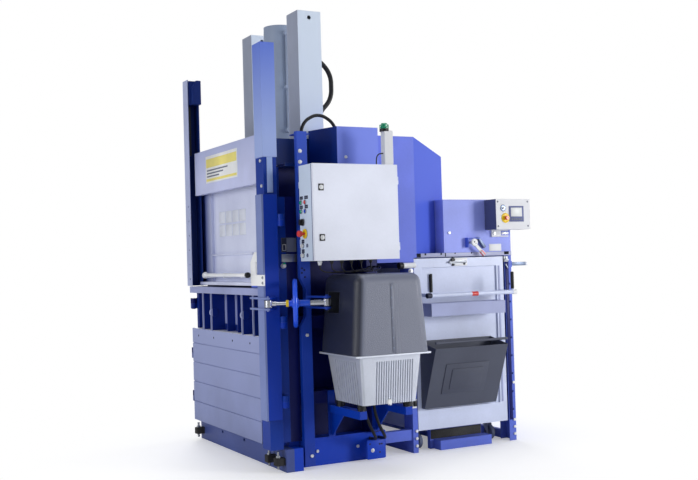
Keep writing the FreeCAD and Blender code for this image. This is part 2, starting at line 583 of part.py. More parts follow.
def feed_door():
    """Feed door that slides up behind the front panel, with its lifting tube and latch."""
    face = f"({DOOR_BACK} - feed_door_thick)"
    y_low, y_high = f"({POST_IN} + door_gap)", f"({FAR_POST_IN} - door_gap)"
    latch_low = across("latch_near")
    latch_high = across("(latch_near + latch_wide)")
    rail_top = "feed_door_low + feed_rail_tall"
    parts = [
        box("feed_panel", (face, DOOR_BACK), (y_low, y_high),
            ("feed_door_low", "feed_door_top")),
        box("feed_bottom_rail", (f"{face} - feed_rail_reach", f"{face} + 1"),
            (across("(latch_near - 27)"), across("(tube_far + 20)")),
            ("feed_door_low", rail_top)),
        box("feed_near_stile", (f"{face} - 22", f"{face} + 1"),
            (f"{y_low} + 32", latch_low), (rail_top, "feed_door_top")),
        box("feed_far_stile", (f"{face} - 22", f"{face} + 1"),
            (across("stile_far"), f"{y_high} - 32"), (rail_top, "feed_door_top")),
        rod("feed_guard_rod", "Y", (f"{face} - 18", "latch_top - 6"), "6",
            (latch_high, across("tube_far"))),
    ]
    for index, spot in enumerate(("latch_near + latch_wide + 20", "tube_far - 30")):
        parts.append(box(f"guard_rod_foot_{index}", (f"{face} - 18", f"{face} + 1"),
                         (across(f"({spot})"), across(f"({spot} + 8)")),
                         ("latch_top - 14", "latch_top + 2")))
    node("feed_door_panel", fuse("feed_door_weldment", parts))

    tube_x = f"({face} - tube_reach)"
    middle = (tube_x, "tube_height")
    tube = [
        rod("lift_tube", "Y", middle, "tube_radius", (across("tube_near"), across("tube_far"))),
        rod("lift_tube_ring", "Y", middle, "tube_radius + 11",
            (across("(tube_far - 6)"), across("(tube_far + 8)"))),
        rod("lift_tube_knob", "Y", middle, "tube_radius + 5",
            (across("(tube_near - 26)"), across("(tube_near + 2)"))),
    ]
    for index, spot in enumerate((660, 1000, 1320)):
        tube.append(box(f"lift_tube_foot_{index}", (tube_x, face),
                        (across(spot), across(spot + 10)),
                        ("tube_height - 20", "tube_height + 16")))
    lift_tube = fuse("lift_tube_set", tube)

    outer = box("latch_outside", (f"{face} - latch_deep", face), (latch_low, latch_high),
                (rail_top, "latch_top"))
    hollow = box("latch_inside", (f"{face} - latch_deep + sheet_metal", f"{face} + 1"),
                 (f"{latch_low} + sheet_metal", f"{latch_high} - sheet_metal"),
                 (f"{rail_top} - 1", "latch_top - sheet_metal"))
    pivot_y = f"({latch_low} + latch_wide / 2)"
    bore = rod("latch_bore", "X", (pivot_y, "latch_pivot"), "8 + pin_gap",
               (f"{face} - latch_deep - 1", f"{face} - latch_deep + sheet_metal + 1"))
    corner = prism("latch_corner", "YZ", [
        (f"{latch_high} + 1", "latch_top + 1"), (f"{latch_high} - 70", "latch_top + 1"),
        (f"{latch_high} + 1", "latch_top - 70")], (f"{face} - latch_deep - 1", f"{face} + 1"))
    latch = cut("latch_fold", outer, [hollow, bore, corner])
    node("feed_door_fittings", group("feed_door_fitting_set", [lift_tube, latch]))

    front = f"({face} - latch_deep - fit_gap)"
    lever = [
        rod("latch_pin", "X", (pivot_y, "latch_pivot"), "8",
            (f"{front} - 6", f"{front} + sheet_metal + 6")),
        rod("latch_lever_boss", "X", (pivot_y, "latch_pivot"), "16", (f"{front} - 10", front)),
        box("latch_lever_bar", (f"{front} - 9", front), (f"{pivot_y} - 8", f"{pivot_y} + 8"),
            ("latch_pivot - lever_reach", "latch_pivot")),
    ]
    node("latch_lever", fuse("latch_lever_set", lever))


# ---------------------------------------------------------------- bale door
def hinge_eye(name, x, y, middle, eye_radius, pin_radius, tall):
    """Fixed half of a hinge: an eye over the joint and the pin that hangs below it."""
    return [
        rod(f"{name}_eye", "Z", (x, y), eye_radius, (f"{middle} + fit_gap",
                                                     f"{middle} + {tall}")),
        rod(f"{name}_pin", "Z", (x, y), pin_radius, (f"{middle} - {tall} - 4",
                                                     f"{middle} + {tall}")),
    ]


def hinge_knuckle(name, x, y, middle, eye_radius, pin_radius, tall):
    """Swinging half of a hinge: the knuckle and the bore that turns on the pin."""
    knuckle = rod(f"{name}_knuckle", "Z", (x, y), eye_radius, (f"{middle} - {tall}", middle))
    bore = rod(f"{name}_bore", "Z", (x, y), f"{pin_radius} + pin_gap",
               (f"{middle} - {tall} - 1", f"{middle} + 1"))
    return knuckle, bore


def bale_door():
    """Bale door: a skin on a frame of bars, an open rib bay, a sill and hinge knuckles."""
    skin = f"({DOOR_BACK} - door_skin)"
    face = along("(-slat_reach)")
    slat_back = f"({face} + slat_box_deep)"
    near, far = across("bale_door_near"), across("bale_door_far")
    bar_x = (slat_back, f"{skin} + 1")
    parts = [
        box("door_skin_plate", (skin, DOOR_BACK), (near, far),
            ("bale_door_low", "bale_door_top")),
        box("door_near_bar", bar_x, (near, f"{near} + door_frame_bar"),
            ("bale_door_low", "bale_door_top")),
        box("door_far_bar", bar_x, (f"{far} - door_frame_bar", far),
            ("bale_door_low", "bale_door_top")),
        box("door_low_bar", bar_x, (near, far),
            ("bale_door_low", "bale_door_low + door_frame_bar")),
        box("door_split_bar", bar_x, (near, far),
            ("bale_door_split - door_frame_bar", "bale_door_split")),
        box("door_sill", (along("(-sill_reach)"), f"{skin} + 1"), (near, f"{far} - 8"),
            ("bale_door_top - sill_tall", "bale_door_top")),
    ]
    for index, spot in enumerate((343, 543, 742, 939, 1145, 1317)):
        reach = "10" if index in (0, 1, 4, 5) else "-40"
        parts.append(box(f"door_rib_{index}", (f"{face} - {reach}", f"{skin} + 1"),
                         (across(spot), across(f"({spot} + rib_thick)")),
                         ("bale_door_split", "bale_door_top - sill_tall + 1")))
        if index in (1, 4):
            parts.append(rod(f"door_strap_roll_{index}", "Y", (f"{face} + 14", "985"), "30",
                             (across(spot - 8), across(f"({spot} + rib_thick + 8)"))))
    bores = []
    pin_x, pin_y = along("(-door_pin_front)"), across("door_pin_far")
    for index, middle in enumerate(HINGE_LEVELS):
        knuckle, bore = hinge_knuckle(f"door_{index}", pin_x, pin_y, f"{middle}",
                                      "door_knuckle_radius", "door_pin_radius",
                                      "door_knuckle_tall")
        parts.append(knuckle)
        parts.append(box(f"door_arm_{index}", (slat_back, f"{slat_back} + 40"),
                         (f"{far} - 5", pin_y), (f"{middle} - door_knuckle_tall", f"{middle}")))
        bores.append(bore)
    node("bale_door_frame", cut("bale_door_weldment", fuse("bale_door_blank", parts), bores))

    cover = box("slat_blank", (face, slat_back), (across("slat_edge"), far),
                ("bale_door_low", "bale_door_split"))
    tools = []
    for index, height in enumerate((296, 447, 595, 740)):
        tools.append(box(f"slat_groove_{index}", (f"{face} - 1", f"{face} + groove_deep"),
                         (f"{across('slat_edge')} - 1", f"{far} + 1"),
                         (f"{height} - groove_tall / 2", f"{height} + groove_tall / 2")))
    node("slat_cover", cut("slat_fold", cover, tools))


# ---------------------------------------------------------------- claw and screw lock
PIVOT_X, PIVOT_Y = along("pivot_x"), across("pivot_y")
CLAW_LEFT = along("(-claw_reach)")
CLAW_PIN = (along("(-claw_pin_x)"), across("(-claw_pin_y)"))


def on_lock(station):
    """Place on the screw axis, measured from the pin of the claw."""
    return (f"({CLAW_PIN[0]} + cos(lock_angle) * ({station}))",
            f"({CLAW_PIN[1]} - sin(lock_angle) * ({station}))")


def lock_turn():
    """Rotation that lays a cylinder along the screw axis."""
    return Rotation(Vector(0, 0, 1), -size("lock_angle")) * TURNS["X"]


def lock_bar(name, radius, start, end):
    """Round bar on the screw axis between two stations."""
    bar = doc.addObject("Part::Cylinder", name)
    bind(bar, Radius=radius, Height=f"({end}) - ({start})")
    return place(bar, *on_lock(start), "lug_height", turn=lock_turn())


def lug_pair(name, corners, eye):
    """Two level plates over and under the screw with a pin through their round ends."""
    parts = []
    for side, low, high in (("lower", "lug_height - lug_space / 2 - lug_plate",
                             "lug_height - lug_space / 2"),
                            ("upper", "lug_height + lug_space / 2",
                             "lug_height + lug_space / 2 + lug_plate")):
        parts.append(prism(f"{name}_{side}_plate", "XY", corners, (low, high)))
        parts.append(rod(f"{name}_{side}_eye", "Z", eye, "eye_radius", (low, high)))
    parts.append(rod(f"{name}_pin", "Z", eye, "lock_pin_radius",
                     ("lug_height - lug_space / 2 - lug_plate - 8",
                      "lug_height + lug_space / 2 + lug_plate + 8")))
    return parts


def claw_column():
    """Hinged claw that hooks round the near edge of the bale door."""
    outer = CLAW_LEFT
    side = f"({NEAR} + claw_plate)"
    parts = [
        box("claw_side_plate", (outer, f"{outer} + claw_side"), (NEAR, side),
            ("claw_low", "claw_top")),
        box("claw_lip", (outer, f"{outer} + claw_plate"), (NEAR, across("claw_lip")),
            ("claw_low", "claw_top")),
    ]
    finger = f"({outer} - claw_plate)"
    pin_x, pin_y = CLAW_PIN
    parts += lug_pair("claw_lug", [
        (finger, f"{NEAR} - 14"), (f"{pin_x} - 20", f"{pin_y} - 16"),
        (f"{pin_x} + 20", f"{pin_y} - 16"), (f"{outer} + claw_side - 18", f"{NEAR} + 1"),
        (f"{outer} + 4", f"{NEAR} + 1"), (f"{outer} + 26", f"{across('claw_lip')}"),
        (f"{outer} + 26", across("(finger_reach - 14)")),
        (f"{outer} + 8", across("finger_reach")), (finger, across("finger_reach"))],
        CLAW_PIN)
    bores = []
    for index, middle in enumerate(CLAW_LEVELS):
        knuckle, bore = hinge_knuckle(f"claw_{index}", PIVOT_X, PIVOT_Y, f"{middle}",
                                      "knuckle_radius", "hinge_pin_radius", "knuckle_tall")
        parts.append(knuckle)
        parts.append(box(f"claw_arm_{index}", (f"{outer} + claw_side - 1", PIVOT_X),
                         (NEAR, side), (f"{middle} - knuckle_tall", f"{middle}")))
        bores.append(bore)
    node("claw_column", cut("claw_weldment", fuse("claw_blank", parts), bores))


def screw_lock():
    """Link rod, hand wheel with its sleeve, and the rod that pushes the claw shut."""
    eye_high = ("lug_height - eye_thick / 2", "lug_height + eye_thick / 2")
    link_eye = on_lock("lock_length")
    link = fuse("link_blank", [
        rod("link_eye", "Z", link_eye, "eye_radius", eye_high),
        lock_bar("link_collar", "sleeve_radius", "sleeve_end + fit_gap", "lock_length - 14"),
        lock_bar("link_screw", "screw_radius", "link_screw_start", "lock_length - 14"),
    ])
    bore = rod("link_bore", "Z", link_eye, "lock_pin_radius + pin_gap",
               ("lug_height - eye_thick", "lug_height + eye_thick"))
    node("link_rod", cut("link_forging", link, [bore]))

    hub = ("wheel_station - wheel_hub / 2", "wheel_station + wheel_hub / 2")
    rim = doc.addObject("Part::Torus", "wheel_rim_ring")
    bind(rim, Radius1="wheel_radius", Radius2="wheel_rim")
    place(rim, *on_lock("wheel_station"), "lug_height", turn=lock_turn())
    parts = [rim, lock_bar("wheel_hub_boss", "wheel_hub_radius", *hub),
             lock_bar("wheel_sleeve", "sleeve_radius", "sleeve_start", "sleeve_end")]
    for index in range(3):
        spoke = doc.addObject("Part::Cylinder", f"wheel_spoke_{index}")
        bind(spoke, Radius="wheel_spoke", Height="wheel_radius")
        turn = lock_turn() * Rotation(Vector(0, 0, 1), 30 + 120 * index) * TURNS["X"]
        parts.append(place(spoke, *on_lock("wheel_station"), "lug_height", turn=turn))
    bore = lock_bar("wheel_bore", "screw_radius + pin_gap", "sleeve_start - 1",
                    "sleeve_end + 1")
    node("handwheel", cut("wheel_casting", fuse("wheel_blank", parts), [bore]))

    rod_blank = fuse("claw_rod_blank", [
        rod("claw_rod_eye", "Z", CLAW_PIN, "eye_radius", eye_high),
        lock_bar("claw_rod_screw", "screw_radius", "16", "claw_rod_end"),
        lock_bar("claw_rod_collar", "sleeve_radius - 3", "16", "48"),
    ])
    hole = rod("claw_rod_hole", "Z", CLAW_PIN, "lock_pin_radius + lock_hole_gap",
               ("lug_height - eye_thick", "lug_height + eye_thick"))
    node("claw_rod", cut("claw_rod_forging", rod_blank, [hole]))


def side_post():
    """Notched side post with its web, foot and the lugs that anchor the screw lock."""
    left, right = along("side_post_left"), along("(side_post_left + side_post_wide)")
    front, back = NEAR, f"({NEAR} + side_post_deep)"
    notch = f"({left} + notch_deep)"
    bar = prism("side_post_bar", "XZ", [
        (left, "base_foot"), (right, "base_foot"), (right, "side_post_top"),
        (left, "side_post_top"), (left, "notch_high"), (notch, "notch_high - notch_slope - 35"),
        (notch, "notch_low + notch_slope + 24"), (left, "notch_low")], (front, back))
    side_in = f"({NEAR} + side_set_back)"
    middle = f"({left} + side_post_wide / 2)"
    x, y = on_lock("lock_length")
    parts = [
        bar,
        box("side_post_web", (f"{middle} + 6", f"{middle} + 18"),
            (f"{back} - 1", f"-{RIB_OUT}"), ("side_plate_tall", "head_low + head_plate")),
        cut("side_post_cap", box("side_post_cap_plate", (left, f"{right} + 20"),
                                 (f"{front} + 4", f"{front} + 110"),
                                 ("side_post_top - 20", "side_post_top - 12")),
            [rod("side_post_cap_hole", "Z", ("bridge_start", "bridge_side"),
                 "hose_radius + 2", ("side_post_top - 21", "side_post_top - 11"))]),
        box("side_post_foot", (left, right), (f"{back} - 1", side_in),
            ("base_foot", "side_plate_tall")),
    ]
    parts += lug_pair("frame_lug", [
        (f"{x} - 26", f"{y} + 4"), (f"{x} + 22", f"{y} - 13"), (right, f"{front} + 1"),
        (f"{notch} + 2", f"{front} + 1")], (x, y))
    post = fuse("side_post_weldment", parts)
    node("side_frame", group("side_frame_set", [post] + pack_bearers()))


def pack_bearers():
    """Two bearers with gussets that carry the oil tank off the chamber uprights."""
    bearers = []
    for side, x in (("left", "(-bearer_wide - 10)"), ("right", "(chamber_half - 60)")):
        high = "(tank_low - foot_tall)"
        low = f"({high} - bearer_tall)"
        front = across("(-bearer_reach)")
        back = f"(-{RIB_OUT})"
        bearers.append(fuse(f"{side}_bearer", [
            box(f"{side}_bearer_bar", (x, f"{x} + bearer_wide"), (front, back), (low, high)),
            prism(f"{side}_bearer_gusset", "YZ", [
                (f"{back} - 190", f"{low} + 1"), (back, f"{low} + 1"), (back, f"{low} - 150"),
                (f"{back} - 30", f"{low} - 150")], (f"{x} + 18", f"{x} + 26")),
            box(f"{side}_bearer_plate", (x, f"{x} + bearer_wide"), (f"{back} - 8", back),
                (f"{low} - 160", f"{high} + 90")),
        ]))
    return bearers


# ---------------------------------------------------------------- control cabinet
CAB_LEFT = along("cabinet_left")
CAB_RIGHT = along("(cabinet_left + cabinet_wide)")
CAB_BACK = across("(-cabinet_back)")
CAB_FRONT = across("(-cabinet_back - cabinet_deep)")
CAB_TOP = "(cabinet_low + cabinet_tall)"
HINGE_X, HINGE_Y = f"({CAB_RIGHT} + 8)", f"({CAB_FRONT} - 5)"
HINGE_UP = (1420, 1840)
BUTTONS = {"start_button": (170, 1707), "stop_button": (228, 1707),
           "open_button": (170, 1651), "reset_button": (228, 1651)}
SELECTORS = {"selector_upper": (183, 1436), "selector_lower": (183, 1376)}


def turned(name, points, x="0", y="0", z="0", turn=None):
    """Profile of radius and height pairs spun about its own axis."""
    sketch = doc.addObject("Sketcher::SketchObject", f"{name}_profile")
    sketch.Placement = Placement(Vector(), SKETCH_TURNS["XZ"][0])
    outline(sketch, points)
    solid = doc.addObject("Part::Revolution", name)
    solid.Source = sketch
    solid.Axis = Vector(0, 0, 1)
    solid.Angle = 360
    solid.Solid = True
    return place(solid, x, y, z, turn=turn)


def knob(name, y, z, points, grip=None):
    """Turned knob on the left wall of the cabinet; heights run out of the wall."""
    out = Rotation(Vector(0, 1, 0), -90)
    parts = [turned(f"{name}_turning", points, CAB_LEFT, across(f"(-{y})"), f"{z}", out)]
    if grip:
        long, wide, low, high = grip
        parts.append(box(f"{name}_grip", (f"{CAB_LEFT} - {high}", f"{CAB_LEFT} - {low}"),
                         (f"{across(f'(-{y})')} - {wide} / 2",
                          f"{across(f'(-{y})')} + {wide} / 2"),
                         (f"{z} - {long} / 2", f"{z} + {long} / 2")))
    return node(name, fuse(f"{name}_set", parts) if grip else parts[0])


def cabinet():
    """Steel cabinet on its four arms, its door with two turn locks, and its controls."""
    wall = "cabinet_sheet"
    outer = box("cabinet_outside", (CAB_LEFT, CAB_RIGHT), (CAB_FRONT, CAB_BACK),
                ("cabinet_low", CAB_TOP))
    inner = box("cabinet_inside", (f"{CAB_LEFT} + {wall}", f"{CAB_RIGHT} - {wall}"),
                (f"{CAB_FRONT} - 1", f"{CAB_BACK} - {wall}"),
                (f"cabinet_low + {wall}", f"{CAB_TOP} - {wall}"))
    shell = cut("cabinet_shell", outer, [inner])
    parts = [shell, box("mounting_plate", (f"{CAB_LEFT} + 30", f"{CAB_RIGHT} - 30"),
                        (f"{CAB_BACK} - 18", f"{CAB_BACK} - 15"),
                        ("cabinet_low + 40", f"{CAB_TOP} - 40"))]
    for index, (x, z) in enumerate(((60, 70), (540, 70), (60, 530), (540, 530))):
        parts.append(rod(f"plate_stud_{index}", "Y", (f"{CAB_LEFT} + {x}", f"cabinet_low + {z}"),
                         "5", (f"{CAB_BACK} - 16", f"{CAB_BACK} - 1")))
    for index, height in enumerate((1440, 1810)):
        span = (f"{height}", f"{height} + 40")
        parts.append(box(f"cabinet_left_arm_{index}",
                         (along("(side_post_left + 4)"), along("(side_post_left + 44)")),
                         (f"{CAB_BACK} - 1", NEAR), span))
        parts.append(box(f"cabinet_right_arm_{index}", ("chamber_half - 60", "chamber_half - 20"),
                         (f"{CAB_BACK} - 1", f"-{RIB_OUT}"), span))
    for index, middle in enumerate(HINGE_UP):
        parts += hinge_eye(f"cabinet_hinge_{index}", HINGE_X, HINGE_Y, f"{middle}",
                           "7", "3", "24")
        parts.append(box(f"cabinet_hinge_leaf_{index}", (f"{CAB_RIGHT} - 1", f"{HINGE_X} + 2"),
                         (CAB_FRONT, f"{CAB_FRONT} + 11"), (f"{middle} + fit_gap",
                                                            f"{middle} + 24")))
    bores = []
    stems = ([(y, z, 6) for y, z in BUTTONS.values()] + [(195, 1583, 8), (219, 1511, 8)]
             + [(y, z, 6) for y, z in SELECTORS.values()])
    for index, (y, z, radius) in enumerate(stems):
        bores.append(rod(f"stem_bore_{index}", "X", (across(f"(-{y})"), f"{z}"),
                         f"{radius} + pin_gap", (f"{CAB_LEFT} - 1", f"{CAB_LEFT} + 5")))
    node("cabinet_body", cut("cabinet_weldment", fuse("cabinet_blank", parts), bores))

    face = f"({CAB_FRONT} - cabinet_door_deep)"
    back = f"({CAB_FRONT} - fit_gap)"
    pan = box("cabinet_door_outside", (CAB_LEFT, CAB_RIGHT), (face, back),
              ("cabinet_low", CAB_TOP))
    hollow = box("cabinet_door_inside", (f"{CAB_LEFT} + {wall}", f"{CAB_RIGHT} - {wall}"),
                 (f"{face} + {wall}", f"{back} + 1"),
                 (f"cabinet_low + {wall}", f"{CAB_TOP} - {wall}"))
    parts, bores = [cut("cabinet_door_pan", pan, [hollow])], []
    for index, middle in enumerate(HINGE_UP):
        eye, bore = hinge_knuckle(f"cabinet_door_{index}", HINGE_X, HINGE_Y, f"{middle}",
                                  "7", "3", "24")
        parts += [eye, box(f"cabinet_door_leaf_{index}", (f"{CAB_RIGHT} - 1", HINGE_X),
                           (f"{HINGE_Y} - 7", HINGE_Y), (f"{middle} - 24", f"{middle}"))]
        bores.append(bore)
    lock_x = along("124")
    for index, height in enumerate((1483, 1793)):
        bores.append(rod(f"lock_bore_{index}", "Y", (lock_x, f"{height}"), "9 + pin_gap",
                         (f"{face} - 1", f"{back} + 1")))
    node("cabinet_door", cut("cabinet_door_fold", fuse("cabinet_door_blank", parts), bores))
    for name, height in (("cabinet_lock_lower", 1483), ("cabinet_lock_upper", 1793)):
        turn_lock = fuse(f"{name}_set", [
            rod(f"{name}_barrel", "Y", (lock_x, f"{height}"), "9",
                (f"{face} - 1", f"{back} - 3")),
            rod(f"{name}_face", "Y", (lock_x, f"{height}"), "14",
                (f"{face} - 6", f"{face} - 0.1")),
            box(f"{name}_key", (f"{lock_x} - 3", f"{lock_x} + 3"), (f"{face} - 11", face),
                (f"{height} - 9", f"{height} + 9"))])
        node(name, turn_lock)
    operator_controls()


def operator_controls():
    """Switch, buttons and selectors on the left wall, with their bezels."""
    bezels = []
    for name, (y, z) in BUTTONS.items():
        knob(name, y, z, [("0", "-14"), ("6", "-14"), ("6", "3.6"), ("10.7", "3.6"),
                          ("10.7", "8.5"), ("9", "10"), ("0", "10")])
        bezels.append(("ring", y, z, 11, 15, 6))
    knob("main_switch", 195, 1583, [("0", "-20"), ("8", "-20"), ("8", "6.3"), ("21", "6.3"),
                                    ("21", "14"), ("0", "14")], (38, 14, 13, 32))
    knob("emergency_stop", 219, 1511, [("0", "-20"), ("8", "-20"), ("8", "24"), ("17", "27"),
                                       ("20", "33"), ("20", "48"), ("17", "53"),
                                       ("10", "55"), ("0", "55")])
    for name, (y, z) in SELECTORS.items():
        knob(name, y, z, [("0", "-14"), ("6", "-14"), ("6", "6.3"), ("12", "6.3"),
                          ("12", "12"), ("0", "12")], (21, 7, 11, 20))
        bezels.append(("ring", y, z, 6.3, 15, 6))
    bezels += [("ring", 195, 1583, 8.3, 23, 6), ("ring", 219, 1511, 8.3, 30, 4),
               ("ring", 244, 1436, 0, 12, 4), ("ring", 244, 1376, 0, 12, 4)]
    parts = []
    for index, (_, y, z, inner, outer, deep) in enumerate(bezels):
        spot = (across(f"(-{y})"), f"{z}")
        ring = rod(f"bezel_{index}", "X", spot, f"{outer}", (f"{CAB_LEFT} - {deep}", CAB_LEFT))
        if inner:
            hole = rod(f"bezel_hole_{index}", "X", spot, f"{inner}",
                       (f"{CAB_LEFT} - {deep} - 1", f"{CAB_LEFT} + 1"))
            ring = cut(f"bezel_ring_{index}", ring, [hole])
        parts.append(ring)
    node("control_bezels", group("control_bezel_set", parts))


def beacon():
    """Signal post on the cabinet with its green lamp."""
    left = along("beacon_left")
    right = f"({left} + beacon_wide)"
    front = across("(-200 - beacon_deep / 2)")
    back = f"({front} + beacon_deep)"
    lamp_foot = f"({CAB_TOP} + 20 + beacon_tall)"
    body = fuse("beacon_case", [
        box("beacon_case_box", (left, right), (front, back),
            (f"{CAB_TOP} + 20", lamp_foot)),
        box("beacon_foot", (left, right), (f"{front} + 4", f"{back} - 4"),
            (CAB_TOP, f"{CAB_TOP} + 21")),
    ])
    node("beacon_housing", body)
    node("beacon_lens", turned("beacon_lamp", [
        ("0", "0"), ("lamp_radius - 3", "0"), ("lamp_radius - 3", "12"),
        ("lamp_radius - 9", "16"), ("lamp_radius - 9", "lamp_tall - 9"),
        ("lamp_radius - 14", "lamp_tall - 2"), ("0", "lamp_tall")],
        f"{left} + lamp_offset", f"{front} + beacon_deep / 2", lamp_foot))


# ---------------------------------------------------------------- covers
BAY_FRONT = across("bay_face")
BAY_BACK = across("bay_back")


def feed_cover():
    """Cover over the pipe work beside the head, cut to sit on the head."""
    left, right = along("feed_cover_left"), along("feed_cover_right")
    front, back = across("cover_front"), across("feed_cover_back")
    skew = "feed_cover_skew"

    def ring(inset, end):
        return [(f"{left} + {inset}", f"{front} + {inset}"),
                (f"{right} - {inset}", f"{front} + {inset}"), (f"{right} - {inset}", end),
                (f"{left} + {inset} - {skew}", end)]

    blank = prism("feed_cover_outside", "XY", ring("0", back),
                  ("feed_cover_low", "feed_cover_top"))
    hollow = prism("feed_cover_inside", "XY", ring("cover_sheet", f"({back} + 1)"),
                   ("feed_cover_low - 1", "feed_cover_top - cover_sheet"))
    seat = box("feed_cover_seat", (f"{left} - {skew} - 9", "chamber_half + wall_thick + 1"),
               (f"-{RIB_OUT} - 1", f"{back} + 1"),
               ("feed_cover_low - 2", "head_low + head_plate"))
    hose_hole = rod("feed_cover_hose_hole", "Z", ("bridge_end - 12", "bridge_side"),
                    "hose_radius + 7", ("feed_cover_top - cover_sheet - 1", "feed_cover_top + 1"))
    node("feed_cover", cut("feed_cover_fold", blank, [hollow, seat, hose_hole]))


def chamfer_at(x):
    """Y of the slanted face of the lift cover at a given X."""
    return (f"({BAY_FRONT} + ({x} - {along('shaft_corner')}) * chamfer_deep"
            f" / (shaft_right - shaft_corner))")


def lift_cover():
    """Hood over the tipping shaft, slanted at its front corner and open below."""
    left, corner, right = along("shaft_left"), along("shaft_corner"), along("shaft_right")

    def ring(inset):
        return [(f"{left} + {inset}", f"{BAY_FRONT} + {inset}"),
                (corner, f"{BAY_FRONT} + {inset}"),
                (f"{right} - {inset}", f"{chamfer_at(right)} + {inset}"),
                (f"{right} - {inset}", f"{BAY_BACK} - {inset}"),
                (f"{left} + {inset}", f"{BAY_BACK} - {inset}")]

    blank = prism("lift_cover_outside", "XY", ring("0"), ("shaft_low", "shaft_top"))
    hollow = prism("lift_cover_inside", "XY", ring("cover_sheet"),
                   ("shaft_low - 1", "shaft_low_top - cover_sheet - 8"))
    upper_ring = prism("lift_cover_upper_ring", "XY", ring("cover_sheet"),
                       ("shaft_low_top - 20", "shaft_top - cover_sheet - 4"))
    roof = prism("lift_cover_roof", "XZ", [
        (f"{right} - 40", "shaft_low_top - 21"), (f"{right} + 1", "shaft_low_top - 21"),
        (f"{right} + 1", "shaft_top"), (f"{corner} - 10", "shaft_top"),
        (f"{corner} - 10", "shaft_top - cover_sheet - 4")],
        (f"{BAY_FRONT} - 1", f"{BAY_BACK} + 1"))
    upper = cut("lift_cover_upper", upper_ring, [roof])
    slope = prism("lift_cover_slope", "XZ", [
        (corner, "shaft_top"), (f"{right} + 1", "shaft_low_top"),
        (f"{right} + 1", "shaft_top + 1"), (corner, "shaft_top + 1")],
        (f"{BAY_FRONT} - 1", f"{BAY_BACK} + 1"))
    mouth = box("lift_cover_mouth", (f"{left} - 1", f"{left} + cover_sheet + 1"),
                (f"-{CHAMBER_Y} + 60", f"{CHAMBER_Y} - 60"), ("shaft_low - 1", "feed_high"))
    step = box("lift_cover_step", (corner, f"{right} + 1"),
               (f"{BAY_FRONT} - 1", across("(bay_face + chamfer_deep + 6)")),
               ("shaft_low - 1", "hood_low"))
    passage = box("lift_cover_passage", (f"{right} - cover_sheet - 1", f"{right} + 1"),
                  (f"{BAY_FRONT} - 1", f"{BAY_BACK} + 1"), ("shaft_low - 1", "trolley_top + 6"))
    doorway = box("lift_cover_doorway", (along("(bay_left + 1)"), f"{corner} + 1"),
                  (f"{BAY_FRONT} - 1", f"{BAY_FRONT} + cover_sheet + 1"),
                  ("shaft_low - 1", "trolley_top + 6"))
    node("lift_cover", cut("lift_cover_fold", blank,
                           [hollow, upper, slope, mouth, step, passage, doorway]))


def bay_hood():
    """Hood over the loading bay, fitted against the slanted face of the lift cover."""
    left, right = along("hood_left"), along("hood_right")
    beside = f"({along('shaft_right')} + 1)"

    def ring(inset):
        return [(f"{left} + {inset}", f"{BAY_FRONT} + {inset}"),
                (f"{right} - {inset}", f"{BAY_FRONT} + {inset}"),
                (f"{right} - {inset}", f"{BAY_BACK} - {inset}"),
                (f"{beside} + {inset}", f"{BAY_BACK} - {inset}"),
                (f"{beside} + {inset}", f"{chamfer_at(beside)} - 2"),
                (f"{left} + {inset}", f"{chamfer_at(left)} - 2")]

    blank = prism("bay_hood_outside", "XY", ring("0"), ("hood_low", "hood_top"))
    hollow = prism("bay_hood_inside", "XY", ring("cover_sheet"),
                   ("hood_low - 1", "hood_top - cover_sheet"))
    bores = [rod("lever_bore", "Y", (along("lever_pivot"), "lever_height"), "10 + pin_gap",
                 (f"{BAY_FRONT} - 1", f"{BAY_FRONT} + 5"))]
    node("bay_hood", cut("bay_hood_fold", blank, [hollow] + bores))


def release_lever():
    """Bracket on the hood and the hand lever that frees the trolley."""
    x = along("lever_pivot")
    front = f"({BAY_FRONT} - lever_stand)"
    bracket = fuse("lever_bracket_set", [
        box("lever_bracket_plate", (f"{x} - 44", f"{x} + 62"), (f"{front} + 2", BAY_FRONT),
            ("lever_height + 26", "lever_height + 34")),
        box("lever_bracket_cheek", (f"{x} - 44", f"{x} - 36"), (f"{front} + 2", BAY_FRONT),
            ("lever_height - 34", "lever_height + 27")),
    ])
    FITTINGS.append(bracket)
    slant = Rotation(Vector(0, 1, 0), 45)
    arm = doc.addObject("Part::Box", "lever_arm")
    bind(arm, Length="lever_long", Width="8", Height="22")
    place(arm, f"{x} - 7.78", f"{front} - 8", "lever_height - 7.78", turn=slant)
    parts = [
        arm,
        rod("lever_boss", "Y", (x, "lever_height"), "22", (f"{front} - 8", front)),
        rod("lever_shaft", "Y", (x, "lever_height"), "10", (f"{front} - 10", f"{BAY_FRONT} + 12")),
    ]
    node("release_lever", fuse("release_lever_set", parts))


